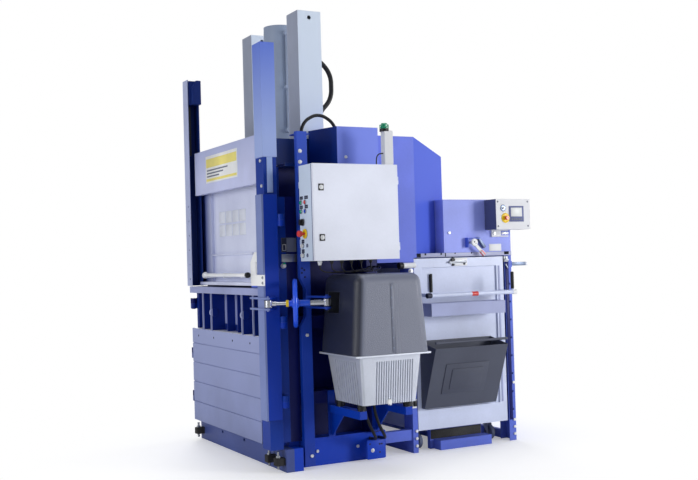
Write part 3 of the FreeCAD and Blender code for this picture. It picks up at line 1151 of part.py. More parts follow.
def terminal():
    """Operator terminal on its bracket, with a stop button and a key switch."""
    left = along("terminal_left")
    right = f"({left} + terminal_wide)"
    top = "(terminal_low + terminal_tall)"
    front = across("(-terminal_front)")
    blank = box("terminal_case", (left, right), (front, BAY_FRONT), ("terminal_low", top))
    bracket = box("terminal_bracket", (f"{left} + 49", f"{left} + 196"),
                  (f"{BAY_FRONT} - 14", BAY_FRONT), ("terminal_low - 49", "terminal_low + 1"))
    stop_x, stop_z = f"({left} + 82)", "(terminal_low + 81)"
    key_x, key_z = f"({left} + 63)", "(terminal_low + 152)"
    bores = [
        rod("terminal_stop_bore", "Y", (stop_x, stop_z), "7 + pin_gap",
            (f"{front} - 1", f"{front} + 22")),
        rod("terminal_key_bore", "Y", (key_x, key_z), "7 + pin_gap",
            (f"{front} - 1", f"{front} + 22")),
    ]
    node("operator_terminal", cut("terminal_body", fuse("terminal_blank", [blank, bracket]),
                                  bores))
    out = Rotation(Vector(1, 0, 0), 90)
    node("terminal_stop", turned("terminal_stop_turning", [
        ("0", "-14"), ("7", "-14"), ("7", "9"), ("13", "12"), ("15", "17"), ("15", "24"),
        ("12", "28"), ("0", "28")], stop_x, front, stop_z, out))
    node("terminal_key", fuse("terminal_key_set", [
        turned("terminal_key_turning", [
            ("0", "-14"), ("7", "-14"), ("7", "0.3"), ("11", "0.3"), ("11", "5"), ("0", "5")],
            key_x, front, key_z, out),
        box("terminal_key_grip", (f"{key_x} - 2", f"{key_x} + 2"), (f"{front} - 18",
                                                                  f"{front} - 4"),
            (f"{key_z} - 8", f"{key_z} + 8"))]))


# ---------------------------------------------------------------- loading bay
def post_channel(name, x, y, z, opening):
    """Channel post with a web and two flanges; opening names the open side."""
    outer = box(f"{name}_outside", x, y, z)
    low = f"{x[0]} - 1" if opening == "-" else f"{x[0]} + post_sheet"
    high = f"{x[1]} + 1" if opening == "+" else f"{x[1]} - post_sheet"
    inner = box(f"{name}_inside", (low, high), (f"{y[0]} + post_sheet", f"{y[1]} - post_sheet"),
                (f"{z[0]} - 1", f"{z[1]} + 1"))
    return cut(name, outer, [inner])


def bay_frame():
    """Posts, sills, rails, stop bar and guard sheets of the loading bay."""
    left, inner = along("bay_post_left"), along("bay_left")
    far, right = along("bay_right"), along("(bay_right + 59)")
    front, front_end = across("(bay_face + 5)"), across("(bay_face + 5 + bay_post_deep)")
    back, back_end = BAY_BACK, f"({BAY_BACK} - bay_post_deep)"
    rail_low = "(trolley_top + 6)"
    parts = [
        post_channel("bay_near_left", (left, inner), (front, front_end), ("0", "shaft_low"), "+"),
        post_channel("bay_near_right", (far, right), (front, front_end), ("0", "hood_low"), "-"),
        post_channel("bay_far_left", (left, inner), (back_end, back), ("0", "shaft_low"), "+"),
        post_channel("bay_far_right", (far, right), (back_end, back), ("0", "hood_low"), "-"),
        box("bay_right_sill", (f"{right} - 36", right), (f"{front_end} - 1", f"{back_end} + 1"),
            ("0", "60")),
        box("bay_left_rail", (left, f"{left} + 30"), (f"{front_end} - 1", f"{back_end} + 1"),
            ("shaft_low - 40", "shaft_low")),
        box("bay_right_rail", (f"{right} - 30", right), (f"{front_end} - 1", f"{back_end} + 1"),
            ("hood_low - 30", "hood_low")),
        box("bay_front_beam", (along("(shaft_corner + 2)"), right), (BAY_FRONT, f"{front} + 20"),
            (rail_low, "hood_low")),
        box("bay_rear_beam", (along("(shaft_right + 2)"), right), (f"{back} - 20", back),
            (rail_low, "hood_low")),
        box("bay_rear_cross", (left, right), (f"{back} - 20", back), ("10", "60")),
        box("bay_stop_bar", (along("stop_left"), along("stop_right")),
            (across("(bay_face - 13)"), across("(bay_face - 13 + stop_deep)")),
            ("0", "stop_tall")),
        box("bay_spine", (along("1390"), along("1450")), (across("184"), f"{back} - 19"),
            ("10", "50")),
        box("bay_back_stop", (along("1400"), along("1440")),
            (across("(trolley_front + trolley_deep)"),
             across("(trolley_front + trolley_deep + 20)")), ("49", "trolley_low + 14")),
        box("bay_stop_block", (along("(stop_left - 30)"), along("(stop_right - 29)")),
            (across("(bay_face - 13 + stop_deep) - 1"), across("185")), ("0", "133")),
    ]
    side_in = f"({NEAR} + side_set_back)"
    bolted = [box("bay_left_sill", (left, f"{left} + 30"), (front_end, back_end), ("0", "60"))]
    for index, span in enumerate(((side_in, f"{side_in} + 50"),
                                  (f"-{side_in} - 50 - 20", f"-{side_in} - 20"))):
        bolted.append(box(f"bay_tie_{index}", (REAR, left), span, ("tie_low", "tie_top")))
    parts.append(box("bay_shaft_ledge", (f"{left} - 40", f"{left} + 1"),
                     (front, front_end), ("shaft_low - 40", "shaft_low")))
    holes = []
    for index in range(8):
        holes.append(rod(f"bay_hole_{index}", "Y", (f"{right} - 20", f"{225 + 130 * index}"),
                         "7", (f"{front} - 1", f"{front} + post_sheet + 1")))
    sheets = [
        box("bay_rear_sheet", (left, right), (back, f"{back} + sheet_metal"),
            ("180", "shaft_low")),
        box("bay_right_sheet", (right, f"{right} + sheet_metal"), (f"{front} + 62", back),
            ("180", "hood_low")),
    ]
    node("bay_frame", group("bay_frame_set", [
        cut("bay_weldment", fuse("bay_blank", parts), holes)] + bolted + sheets))
    arm_x = f"({right} + 0)"
    FITTINGS.append(fuse("bay_arm_set", [
        box("bay_arm_bar", (arm_x, f"{right} + 150"), (f"{front} + 8", f"{front} + 18"),
            ("1266", "1290")),
        box("bay_arm_foot", (arm_x, f"{right} + 10"), (f"{front} + 4", f"{front} + 60"),
            ("1256", "1300")),
    ]))


# ---------------------------------------------------------------- trolley
TROLLEY_LEFT = f"({along('bay_left')} + trolley_gap)"
TROLLEY_RIGHT = f"({along('bay_right')} - trolley_gap - 9)"
TROLLEY_FRONT = across("trolley_front")
TROLLEY_BACK = across("(trolley_front + trolley_deep)")
WHEEL_X = (f"({along('1425')} - caster_spacing / 2)", f"({along('1425')} + caster_spacing / 2)")
CASTER_Y = across("(trolley_front + caster_set_in)")
REAR_WHEEL_Y = f"({TROLLEY_BACK} - caster_back)"


def trolley():
    """Bin trolley: open tub with a framed front, handle, tray, strap bin and wheels."""
    wall = "trolley_sheet"
    floor = "(trolley_low + trolley_floor_rise)"
    front = f"({TROLLEY_FRONT} + trolley_frame_deep)"
    blank = box("tub_outside", (TROLLEY_LEFT, TROLLEY_RIGHT), (TROLLEY_FRONT, TROLLEY_BACK),
                ("trolley_low", "trolley_top"))
    tools = [
        box("tub_inside", (f"{TROLLEY_LEFT} + {wall}", f"{TROLLEY_RIGHT} - {wall}"),
            (f"{front} + {wall}", f"{TROLLEY_BACK} - {wall}"), (floor, "trolley_top + 1")),
        box("tub_below", (f"{TROLLEY_LEFT} + 20", f"{TROLLEY_RIGHT} - 20"),
            (f"{front} + 20", f"{TROLLEY_BACK} - 20"), ("trolley_low - 1", f"{floor} - 4")),
        box("tub_recess", (f"{TROLLEY_LEFT} + recess_side", f"{TROLLEY_RIGHT} - recess_side"),
            (f"{TROLLEY_FRONT} - 1", front), ("recess_low", "recess_top")),
    ]
    node("trolley_tub", cut("tub_fold", blank, tools))

    y = across("(-handle_front)")
    grips = (f"({TROLLEY_LEFT} + 19)", f"({TROLLEY_RIGHT} - 57)")
    tube = rod("handle_tube", "X", (y, "handle_height"), "handle_radius",
               (f"{TROLLEY_LEFT} - 6", f"{TROLLEY_RIGHT} - 36"))
    parts = [tube]
    for index, x in enumerate(grips):
        parts.append(box(f"handle_arm_{index}", (f"{x} + 16", f"{x} + 22"),
                         (f"{y} - 4", TROLLEY_FRONT),
                         ("handle_height - 12", "handle_height + 12")))
        parts.append(rod(f"handle_grip_{index}", "Z", (x, y), "grip_radius",
                         ("handle_height", "grip_top")))
    node("trolley_handle", fuse("handle_set", parts))
    tray_front = f"({TROLLEY_FRONT} - tray_deep)"
    tray = box("tray_outside", (f"{TROLLEY_LEFT} + 40", f"{TROLLEY_RIGHT} - 100"),
               (tray_front, TROLLEY_FRONT), ("tray_low", "tray_low + tray_tall"))
    hollow = box("tray_inside", (f"{TROLLEY_LEFT} + 43", f"{TROLLEY_RIGHT} - 103"),
                 (f"{tray_front} + 3", f"{TROLLEY_FRONT} - 3"),
                 ("tray_low + 3", "tray_low + tray_tall + 1"))
    node("tool_tray", cut("tray_fold", tray, [hollow]))

    def wedge(inset, low, high):
        lean = "(bin_deep_top - bin_deep_low) / (bin_top - bin_low)"
        return [(f"{TROLLEY_FRONT} - {inset}", low),
                (f"{TROLLEY_FRONT} - bin_deep_low - ({low} - bin_low) * {lean} + {inset}", low),
                (f"{TROLLEY_FRONT} - bin_deep_low - ({high} - bin_low) * {lean} + {inset}", high),
                (f"{TROLLEY_FRONT} - {inset}", f"{high} + 44")]

    left, right = along("bin_left"), along("bin_right")
    outside = prism("bin_outside", "YZ", wedge("0", "bin_low", "bin_top"), (left, right))
    inside = prism("bin_inside", "YZ", wedge("bin_wall", "(bin_low + bin_wall)", "(bin_top + 1)"),
                   (f"{left} + bin_wall", f"{right} - bin_wall"))
    node("strap_bin", cut("bin_moulding", outside, [inside]))
    trolley_wheels()


def wheel(name, x, y):
    """Tyred wheel with a recessed web, turned about a level axle."""
    half = "(caster_wide / 2)"
    across_axle = Rotation(Vector(0, 1, 0), 90)
    return turned(name, [
        ("axle_radius + pin_gap", f"-{half} - 1"), ("14", f"-{half} - 1"),
        ("14", f"-{half} + 8"), ("caster_radius - 16", f"-{half} + 8"),
        ("caster_radius - 14", f"-{half} + 1"), ("caster_radius - 5", f"-{half}"),
        ("caster_radius", f"-{half} + 6"), ("caster_radius", f"{half} - 6"),
        ("caster_radius - 5", half), ("caster_radius - 14", f"{half} - 1"),
        ("caster_radius - 16", f"{half} - 8"), ("14", f"{half} - 8"),
        ("14", f"{half} + 1"), ("axle_radius + pin_gap", f"{half} + 1")],
        x, y, "caster_radius", across_axle)


def fork(name, x, y, axle_y, top, swivel):
    """Two cheeks, a crown and an axle that carry one wheel."""
    gap = "(caster_wide / 2 + 2)"
    cheek = "4"
    crown_low = "(2 * caster_radius + 5)"
    parts = [
        box(f"{name}_crown", (f"{x} - {gap} - {cheek}", f"{x} + {gap} + {cheek}"),
            (f"{y} - 30", f"{y} + 30"), (crown_low, f"{crown_low} + 5")),
        rod(f"{name}_axle", "X", (axle_y, "caster_radius"), "axle_radius",
            (f"{x} - {gap} - {cheek}", f"{x} + {gap} + {cheek}")),
    ]
    if swivel:
        parts.append(rod(f"{name}_turntable", "Z", (x, y), "22",
                         (f"{crown_low} + 4", f"{top} - fit_gap")))
    else:
        parts.append(box(f"{name}_pad", (f"{x} - 30", f"{x} + 30"), (f"{y} - 40", f"{y} + 40"),
                         (f"{crown_low} + 4", top)))
    for side, low, high in (("left", f"{x} - {gap} - {cheek}", f"{x} - {gap}"),
                            ("right", f"{x} + {gap}", f"{x} + {gap} + {cheek}")):
        parts.append(prism(f"{name}_{side}_cheek", "YZ", [
            (f"{y} - 30", f"{crown_low} + 5"), (f"{axle_y} - 14", "caster_radius + 4"),
            (f"{axle_y} - 8", "caster_radius - 12"), (f"{axle_y} + 8", "caster_radius - 12"),
            (f"{axle_y} + 14", "caster_radius + 4"), (f"{y} + 30", f"{crown_low} + 5")],
            (low, high)))
    return fuse(f"{name}_set", parts)


def trolley_wheels():
    """Two swivelling casters at the front and two fixed wheels at the back."""
    trail = f"({CASTER_Y} - caster_trail)"
    top = "trolley_low"
    floor = "(trolley_low + trolley_floor_rise - 4)"
    for side, x in (("left", WHEEL_X[0]), ("right", WHEEL_X[1])):
        node(f"caster_fork_{side}", fork(f"fork_{side}", x, CASTER_Y, trail, top, True))
        node(f"caster_wheel_{side}", wheel(f"caster_tyre_{side}", x, trail))
    pairs = [wheel(f"rear_tyre_{index}", x, REAR_WHEEL_Y) for index, x in enumerate(WHEEL_X)]
    node("rear_wheels", group("rear_wheel_pair", pairs))
    forks = [fork(f"rear_fork_{index}", x, REAR_WHEEL_Y, REAR_WHEEL_Y, floor, False)
             for index, x in enumerate(WHEEL_X)]
    for index, x in enumerate(WHEEL_X):
        pad = box(f"caster_plate_{index}", (f"{x} - 36", f"{x} + 36"),
                  (f"{CASTER_Y} - 36", f"{CASTER_Y} + 36"), (top, floor))
        forks.append(pad)
    latch_x = (f"({TROLLEY_LEFT} + 302)", f"({TROLLEY_LEFT} + 430)")
    forks.append(fuse("trolley_latch", [
        box("trolley_latch_plate", latch_x, (f"{TROLLEY_FRONT} - 6", TROLLEY_FRONT),
            ("trolley_top - 44", "trolley_top - 18")),
        rod("trolley_latch_bolt", "X", (f"{TROLLEY_FRONT} - 12", "trolley_top - 31"), "8",
            (f"{latch_x[0]} - 20", latch_x[1]))]))
    node("trolley_chassis", group("trolley_chassis_set", forks))


# ---------------------------------------------------------------- power pack
PACK_X = along("pack_middle")


def tapered(name, low, high, levels, rounds):
    """Solid between two level rectangles, rounded on its upright and upper edges."""
    sections = []
    for label, (x, y), level in (("foot", low, levels[0]), ("top", high, levels[1])):
        sketch = doc.addObject("Sketcher::SketchObject", f"{name}_{label}")
        outline(sketch, [(x[0], y[0]), (x[1], y[0]), (x[1], y[1]), (x[0], y[1])])
        sections.append(bind(sketch, Placement__Base__z=level))
    loft = doc.addObject("Part::Loft", f"{name}_loft")
    loft.Sections = sections
    loft.Solid = True
    loft.Ruled = True
    doc.recompute()
    top_edges = []
    for index, edge in enumerate(loft.Shape.Edges, start=1):
        if edge.BoundBox.ZMax > loft.Shape.BoundBox.ZMin + 1:
            upright = edge.BoundBox.ZMin < loft.Shape.BoundBox.ZMax - 1
            if upright or rounds[1]:
                top_edges.append((index, rounds[0], rounds[0]))
    smooth = doc.addObject("Part::Fillet", name)
    smooth.Base = loft
    smooth.Edges = top_edges
    return smooth


def oil_tank():
    """Cast tank with flutes, feet and a drain plug, its lid and the pump motor."""
    def span(wide):
        return (f"{PACK_X} - {wide} / 2", f"{PACK_X} + {wide} / 2")

    low = (span("tank_foot_wide"), (across("(-tank_foot_front)"), across("(-tank_foot_back)")))
    high = (span("tank_wide"), (across("(-tank_front)"), across("(-tank_back)")))
    tank = tapered("tank_casting", low, high, ("tank_low", "tank_top"), (16, False))
    tools = []
    lean = "((tank_front - tank_foot_front) / (tank_top - tank_low))"
    for index in range(16):
        x = f"({PACK_X} - tank_foot_wide / 2 + 84 + {index} * 17)"
        foot_y, top_y = low[1][0], high[1][0]
        tools.append(prism(f"tank_flute_{index}", "YZ", [
            (f"{foot_y} - 12 + {lean} * 12", "tank_low - 12"),
            (f"{foot_y} + flute_deep + {lean} * 12", "tank_low - 12"),
            (f"{top_y} + flute_deep + {lean} * 34", "tank_top - 34"),
            (f"{top_y} - 12 + {lean} * 34", "tank_top - 34")], (x, f"{x} + 8")))
    side = "((tank_wide - tank_foot_wide) / 2 / (tank_top - tank_low))"
    for index in range(10):
        y = f"({low[1][0]} + 44 + {index} * 30)"
        foot_x, top_x = low[0][0], high[0][0]
        tools.append(prism(f"tank_side_flute_{index}", "XZ", [
            (f"{foot_x} - 12 + {side} * 12", "tank_low - 12"),
            (f"{foot_x} + flute_deep + {side} * 12", "tank_low - 12"),
            (f"{top_x} + flute_deep + {side} * 34", "tank_top - 34"),
            (f"{top_x} - 12 + {side} * 34", "tank_top - 34")], (y, f"{y} + 10")))
    fluted = cut("tank_fluted", tank, tools)
    hood_wide = "(hood_bottom_wide / 2 - 2)"
    parts = [
        fluted,
        box("tank_lid", (f"{PACK_X} - {hood_wide}", f"{PACK_X} + {hood_wide}"),
            (across("(2 - hood_bottom_front)"), across("(hood_rear - 2)")),
            ("tank_top - 1", "hood_bottom")),
        rod("pump_motor", "Z", (PACK_X, across("(-tank_front / 2)")), "105",
            ("hood_bottom - 1", "motor_hood_top - 120")),
        hexagon("drain_plug", "Z", (f"{PACK_X} + 20", across("(40 - tank_foot_front)")), "14",
                ("tank_low - 14", "tank_low + 2")),
    ]
    for index, x in enumerate(("(-bearer_wide / 2 - 10)",
                               "(chamber_half - 60 + bearer_wide / 2)")):
        for end, y in enumerate(("bearer_reach - 22", "80")):
            parts.append(rod(f"tank_foot_{index}_{end}", "Z", (x, across(f"(-({y}))")),
                             "foot_radius", ("tank_low - foot_tall", "tank_low + 2")))
    node("oil_tank", fuse("tank_set", parts))


def motor_hood():
    """Moulded hood over the motor with a raised seam and a notch beside the lock."""
    def span(wide, inset):
        return (f"{PACK_X} - {wide} / 2 + {inset}", f"{PACK_X} + {wide} / 2 - {inset}")

    def sizes(inset):
        low = (span("hood_bottom_wide", inset),
               (f"{across('(-hood_bottom_front)')} + {inset}",
                f"{across('hood_rear')} - {inset}"))
        high = (span("hood_top_wide", inset),
                (f"{across('(-hood_top_front)')} + {inset}",
                 f"{across('(-hood_rear)')} - {inset}"))
        return low, high

    outer = tapered("hood_outside", *sizes("0"), ("hood_bottom", "motor_hood_top"),
                    (size("hood_round"), True))
    inner = tapered("hood_inside", *sizes("hood_skin"),
                    ("hood_bottom - 1", "motor_hood_top - hood_skin"),
                    (size("hood_round") - size("hood_skin"), True))
    front, top_front = across("(-hood_bottom_front)"), across("(-hood_top_front)")
    seam = prism("hood_seam", "YZ", [
        (f"{front} - 4", "hood_bottom"), (f"{front} + 3", "hood_bottom"),
        (f"{top_front} + 3", "motor_hood_top - hood_round"),
        (f"{top_front} - 4", "motor_hood_top - hood_round - 4")],
        (f"{PACK_X} + 10", f"{PACK_X} + 40"))
    left = f"({PACK_X} - hood_bottom_wide / 2)"
    notch = box("hood_notch", (f"{left} - 20", f"{left} + 90"),
                (across("(-252)"), across("(-100)")),
                ("lug_height - lug_space / 2 - 42", "lug_height + lug_space / 2 + 34"))
    node("motor_hood", cut("hood_moulding", fuse("hood_blank", [outer, seam]),
                           [inner, notch]))


# ---------------------------------------------------------------- hoses and cables
def curve_points(start, lead, tail, end, count, stub):
    """Points of a smooth bend with a straight stub at each end, along lead and tail."""
    first = start + Vector(lead).normalize() * stub
    last = end + Vector(tail).normalize() * stub
    points = [start]
    for index in range(count + 1):
        step = index / count
        keep = 1 - step
        points.append(first * keep ** 3 + (start + lead) * 3 * keep ** 2 * step
                      + (end + tail) * 3 * keep * step ** 2 + last * step ** 3)
    return points + [end]


def tube_along(name, points, radius):
    """Round tube on straight runs joined by arcs as large as the runs allow."""
    edges, radii, here = [], [], points[0]
    for index in range(1, len(points) - 1):
        before = points[index] - points[index - 1]
        after = points[index + 1] - points[index]
        turn = before.getAngle(after)
        bend = 0.45 * min(before.Length, after.Length) / math.tan(turn / 2)
        reach = bend * math.tan(turn / 2)
        ahead, behind = Vector(after).normalize(), Vector(before).normalize()
        first, last = points[index] - behind * reach, points[index] + ahead * reach
        centre_way = (ahead - behind).normalize()
        centre = points[index] + centre_way * (bend / math.cos(turn / 2))
        middle = centre - centre_way * bend
        edges.append(Part.LineSegment(here, first).toShape())
        edges.append(Part.Arc(first, middle, last).toShape())
        radii.append(bend)
        here = last
    edges.append(Part.LineSegment(here, points[-1]).toShape())
    path = Part.Wire(edges)
    start_way = points[1] - points[0]
    ring = Part.Wire([Part.makeCircle(radius, points[0], start_way)])
    solid = path.makePipeShell([ring], True, False)
    expected = math.pi * radius ** 2 * path.Length
    print(f"{name}: length {path.Length:.0f}, least bend {min(radii) / radius / 2:.1f} dia,"
          f" volume {solid.Volume / expected:.4f} of section times length")
    tube = doc.addObject("Part::Feature", name)
    tube.Shape = solid
    return tube


def hydraulic_hoses():
    """Four hoses: cylinder to head, side post to cover, and two under the tank."""
    head_top = size("head_top")
    near = -size("press_wide") / 2
    front = -size("ram_to_front")
    x, y = size("hose_port_reach"), -size("hose_port_side")
    z = head_top + size("hose_port_up")
    bend, step, drop = 157, 111, 189
    hoses = [tube_along("cylinder_hose", [
        Vector(x, y, z), Vector(x + bend, y, z), Vector(x + bend + step, y, z - step),
        Vector(x + bend + step, y, z - step - drop), Vector(x + bend, y, z - 2 * step - drop),
        Vector(x + bend, y, head_top)], 17)]
    x, y, end_x = size("bridge_start"), size("bridge_side"), size("bridge_end")
    seat = size("head_low") + size("head_plate")
    shoulder, crown = 265, 340
    hoses.append(tube_along("bridge_hose", [
        Vector(x, y, seat), Vector(x, y, seat + shoulder),
        Vector((x + end_x) / 2, y, seat + crown), Vector(end_x, y, seat + shoulder),
        Vector(end_x, y, seat)], size("hose_radius")))
    pack_x = front + size("pack_middle")
    beam_y = near + size("side_set_back")
    for index, (x, reach) in enumerate(((-22, 133), (48, 203))):
        start = Vector(pack_x + x, near - 130, size("tank_low"))
        end = Vector(pack_x + reach, beam_y, 140)
        hoses.append(tube_along(f"tank_hose_{index}", curve_points(
            start, Vector(0, 0, -200), Vector(0, -200, 0), end, 8, 20), 10))
    node("hydraulic_hoses", group("hose_set", hoses))


def cabinet_cables():
    """Glands under the cabinet, their cables to the upright, and the lamp cable."""
    near = -size("press_wide") / 2
    front = -size("ram_to_front")
    low = size("cabinet_low")
    left = front + size("cabinet_left")
    row = near - size("cabinet_back") - size("cabinet_deep") / 2
    wall = -(size("chamber_wide") / 2 + size("wall_thick") + size("wall_rib_deep") + 20)
    parts = []
    for index, (x, drop) in enumerate(((86, 52), (170, 46), (240, 56), (310, 48), (380, 54),
                                       (450, 47))):
        start = Vector(left + x, row, low - 18)
        end = Vector(size("chamber_half") - 62 + 13 * index, wall, low - drop)
        parts.append(tube_along(f"cabinet_cable_{index}", curve_points(
            start, Vector(0, 0, -90), Vector(0, -150, 0), end, 6, 34), 4))
        parts.append(rod(f"cabinet_gland_{index}", "Z", (f"{left + x}", f"{row}"), "10",
                         ("cabinet_low - 18", "cabinet_low")))
    case_x = front + size("beacon_left")
    top = low + size("cabinet_tall")
    start = Vector(case_x, near - 200, top + 88)
    end = Vector(case_x - 52, near - 200, top)
    parts.append(tube_along("beacon_cable", curve_points(
        start, Vector(-58, 0, 0), Vector(0, 0, 50), end, 5, 6), 4))
    node("cabinet_cables", group("cable_set", parts))


# ---------------------------------------------------------------- bolts and switch
def interlock_switch():
    """Switch box on the near post that feels the bottom rail of the feed door."""
    low = "(bale_door_top + 6)"
    x = (f"{POST_LEFT} + 6", f"{POST_LEFT} + 50")
    end = across("(latch_near - 40)")
    FITTINGS.append(fuse("interlock_case", [
        box("interlock_box", x, (f"{POST_IN} - 30", end), (low, f"{low} + 46")),
        box("interlock_tongue", (f"{x[0]} + 14", f"{x[1]} - 14"),
            (f"{end} - 1", f"{end} + 10"), (f"{low} + 14", f"{low} + 32")),
    ]))


def frame_bolts():
    """Hexagon bolt heads on the posts, the covers and the base."""
    heads = []
    bay_levels = ("48", "99", "150", "419")
    rows = [
        ("side", "Y", NEAR, [(along("177"), "88"), (along("166"), "864"),
                             (along("152"), "1982"), (along("152"), "2053")]),
        ("near_base", "Y", f"({NEAR} + side_set_back)", [(along("260"), "96"),
                                                       (along("560"), "96"),
                                                       (along("700"), "60")]),
        ("hood", "Y", BAY_FRONT, [(along("(hood_left + 45)"), "1512")]),
        ("cover", "Y", across("cover_front"), [(along("(feed_cover_left + 63)"), "2022")]),
        ("bay_left", "Y", across("(bay_face + 5)"),
         [(along("(bay_left - 13)"), z) for z in bay_levels[:3]]),
        ("bay_right", "Y", across("(bay_face + 5)"),
         [(along("(bay_right + 45)"), z) for z in bay_levels]),
        ("post", "X", POST_LEFT, [(across("63"), "1990"), (across("50"), "1828"),
                                  (across("97"), "1742")]),
        ("terminal", "Y", f"({BAY_FRONT} - 14)", [
            (along("(terminal_left + 70)"), "terminal_low - 24"),
            (along("(terminal_left + 163)"), "terminal_low - 24")]),
    ]
    for name, axis, face, spots in rows:
        for index, spot in enumerate(spots):
            heads.append(hexagon(f"{name}_bolt_{index}", axis, spot, "bolt_head",
                                 (f"{face} - bolt_tall", face)))
    node("frame_bolts", group("frame_bolt_set", heads))


def frame_fittings():
    """Small painted fittings of the frame, gathered from the covers and posts."""
    node("frame_fittings", group("frame_fitting_set", FITTINGS))


# ---------------------------------------------------------------- build and export
def check():
    """Stops on anything that failed to build, or that has no sound shape."""
    doc.recompute()
    bad = [thing.Name for thing in doc.Objects
           if "Invalid" in thing.State or "Error" in thing.State]
    for thing in NODES:
        if thing.Shape.isNull() or not thing.Shape.isValid() or not thing.Shape.Solids:
            bad.append(f"{thing.Label} shape")
    if bad:
        raise RuntimeError("failed: " + ", ".join(bad))


def export():
    """Writes each sub-part to a file of its own."""
    os.makedirs("parts", exist_ok=True)
    for thing in NODES:
        thing.Shape.exportStep(f"parts/{thing.Label}.step")
    print(len(NODES), "sub-parts,", sum(len(thing.Shape.Solids) for thing in NODES), "solids")


base_frame()
chamber_shell()
side_post()
near_guide_post()
far_guide_post()
guide_strips()
front_panel()
head_yoke()
guide_tubes()
cylinder_barrel()
ram()
feed_door()
bale_door()
claw_column()
screw_lock()
cabinet()
beacon()
feed_cover()
lift_cover()
bay_hood()
release_lever()
terminal()
bay_frame()
trolley()
oil_tank()
motor_hood()
hydraulic_hoses()
cabinet_cables()
interlock_switch()
frame_fittings()
frame_bolts()
check()
export()
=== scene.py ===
"""Looks of a recycling baler: finishes, fitted details, studio and camera."""

import logging
import math
from collections.abc import Callable, Iterable, Sequence
from dataclasses import dataclass, field
from enum import Enum
from typing import ClassVar

import bmesh
import bpy
from mathutils import Matrix, Vector


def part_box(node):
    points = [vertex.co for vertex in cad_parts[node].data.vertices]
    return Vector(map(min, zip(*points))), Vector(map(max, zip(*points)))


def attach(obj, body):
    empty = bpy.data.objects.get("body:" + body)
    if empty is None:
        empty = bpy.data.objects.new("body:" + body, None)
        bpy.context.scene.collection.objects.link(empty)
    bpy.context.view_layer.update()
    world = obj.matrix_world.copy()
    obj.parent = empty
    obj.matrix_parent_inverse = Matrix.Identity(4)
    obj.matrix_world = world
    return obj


LOG = logging.getLogger("baler")
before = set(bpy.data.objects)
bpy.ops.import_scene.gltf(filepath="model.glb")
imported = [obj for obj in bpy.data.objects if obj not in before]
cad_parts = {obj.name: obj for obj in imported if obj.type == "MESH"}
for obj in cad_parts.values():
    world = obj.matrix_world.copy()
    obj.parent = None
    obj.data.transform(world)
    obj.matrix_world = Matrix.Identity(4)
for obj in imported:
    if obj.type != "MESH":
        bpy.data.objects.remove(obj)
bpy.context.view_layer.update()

Point = tuple[float, float, float]
Rgb = tuple[int, int, int]
Profile = Sequence[tuple[float, float]]
Node = bpy.types.Node
Socket = bpy.types.NodeSocket
Tree = bpy.types.NodeTree

MM = 0.001
WHITE = (1.0, 1.0, 1.0, 1.0)
# Ways in the frame: the bale door faces OUT, and the control cabinet stands on the NEAR side.
OUT: Point = (-1.0, 0.0, 0.0)
NEAR: Point = (0.0, -1.0, 0.0)
ALONG: Point = (1.0, 0.0, 0.0)
ACROSS: Point = (0.0, 1.0, 0.0)
UP: Point = (0.0, 0.0, 1.0)
DOWN: Point = (0.0, 0.0, -1.0)


class Body(Enum):
    """The moving groups that carry fitted pieces, by their names in the frame."""

    PRESS = "press"
    FEED_DOOR = "feed_door"
    BALE_DOOR = "bale_door"
    CLAW = "claw"
    WHEEL = "lock_wheel"
    CONTROL_DOOR = "control_door"
    LEVER = "lever"
    TROLLEY = "trolley"


def linear(colour: Sequence[int]) -> tuple[float, ...]:
    """Turns a colour as seen on a screen into the value a shader needs.

    Args:
        colour: red, green and blue from 0 to 255.

    Returns:
        The linear colour with full alpha.
    """
    parts = [channel / 255 for channel in colour]
    bent = [c / 12.92 if c <= 0.04045 else ((c + 0.055) / 1.055) ** 2.4 for c in parts]
    return (*bent, 1.0)


def ahead(start: Point, way: Point, reach: float) -> Point:
    """Point that lies a distance from another one along a way."""
    return tuple(place + step * reach for place, step in zip(start, way))


def circle(count: int) -> list[tuple[float, float]]:
    """Cosine and sine of evenly spaced directions round a circle."""
    turns = [2 * math.pi * index / count for index in range(count)]
    return [(math.cos(turn), math.sin(turn)) for turn in turns]


def add_object(name: str, data: bpy.types.ID) -> bpy.types.Object:
    """Makes an object of its data and puts it in the scene.

    Args:
        name: name of the object.
        data: its mesh, light or camera.

    Returns:
        The new object.
    """
    made = bpy.data.objects.new(name, data)
    bpy.context.scene.collection.objects.link(made)
    return made


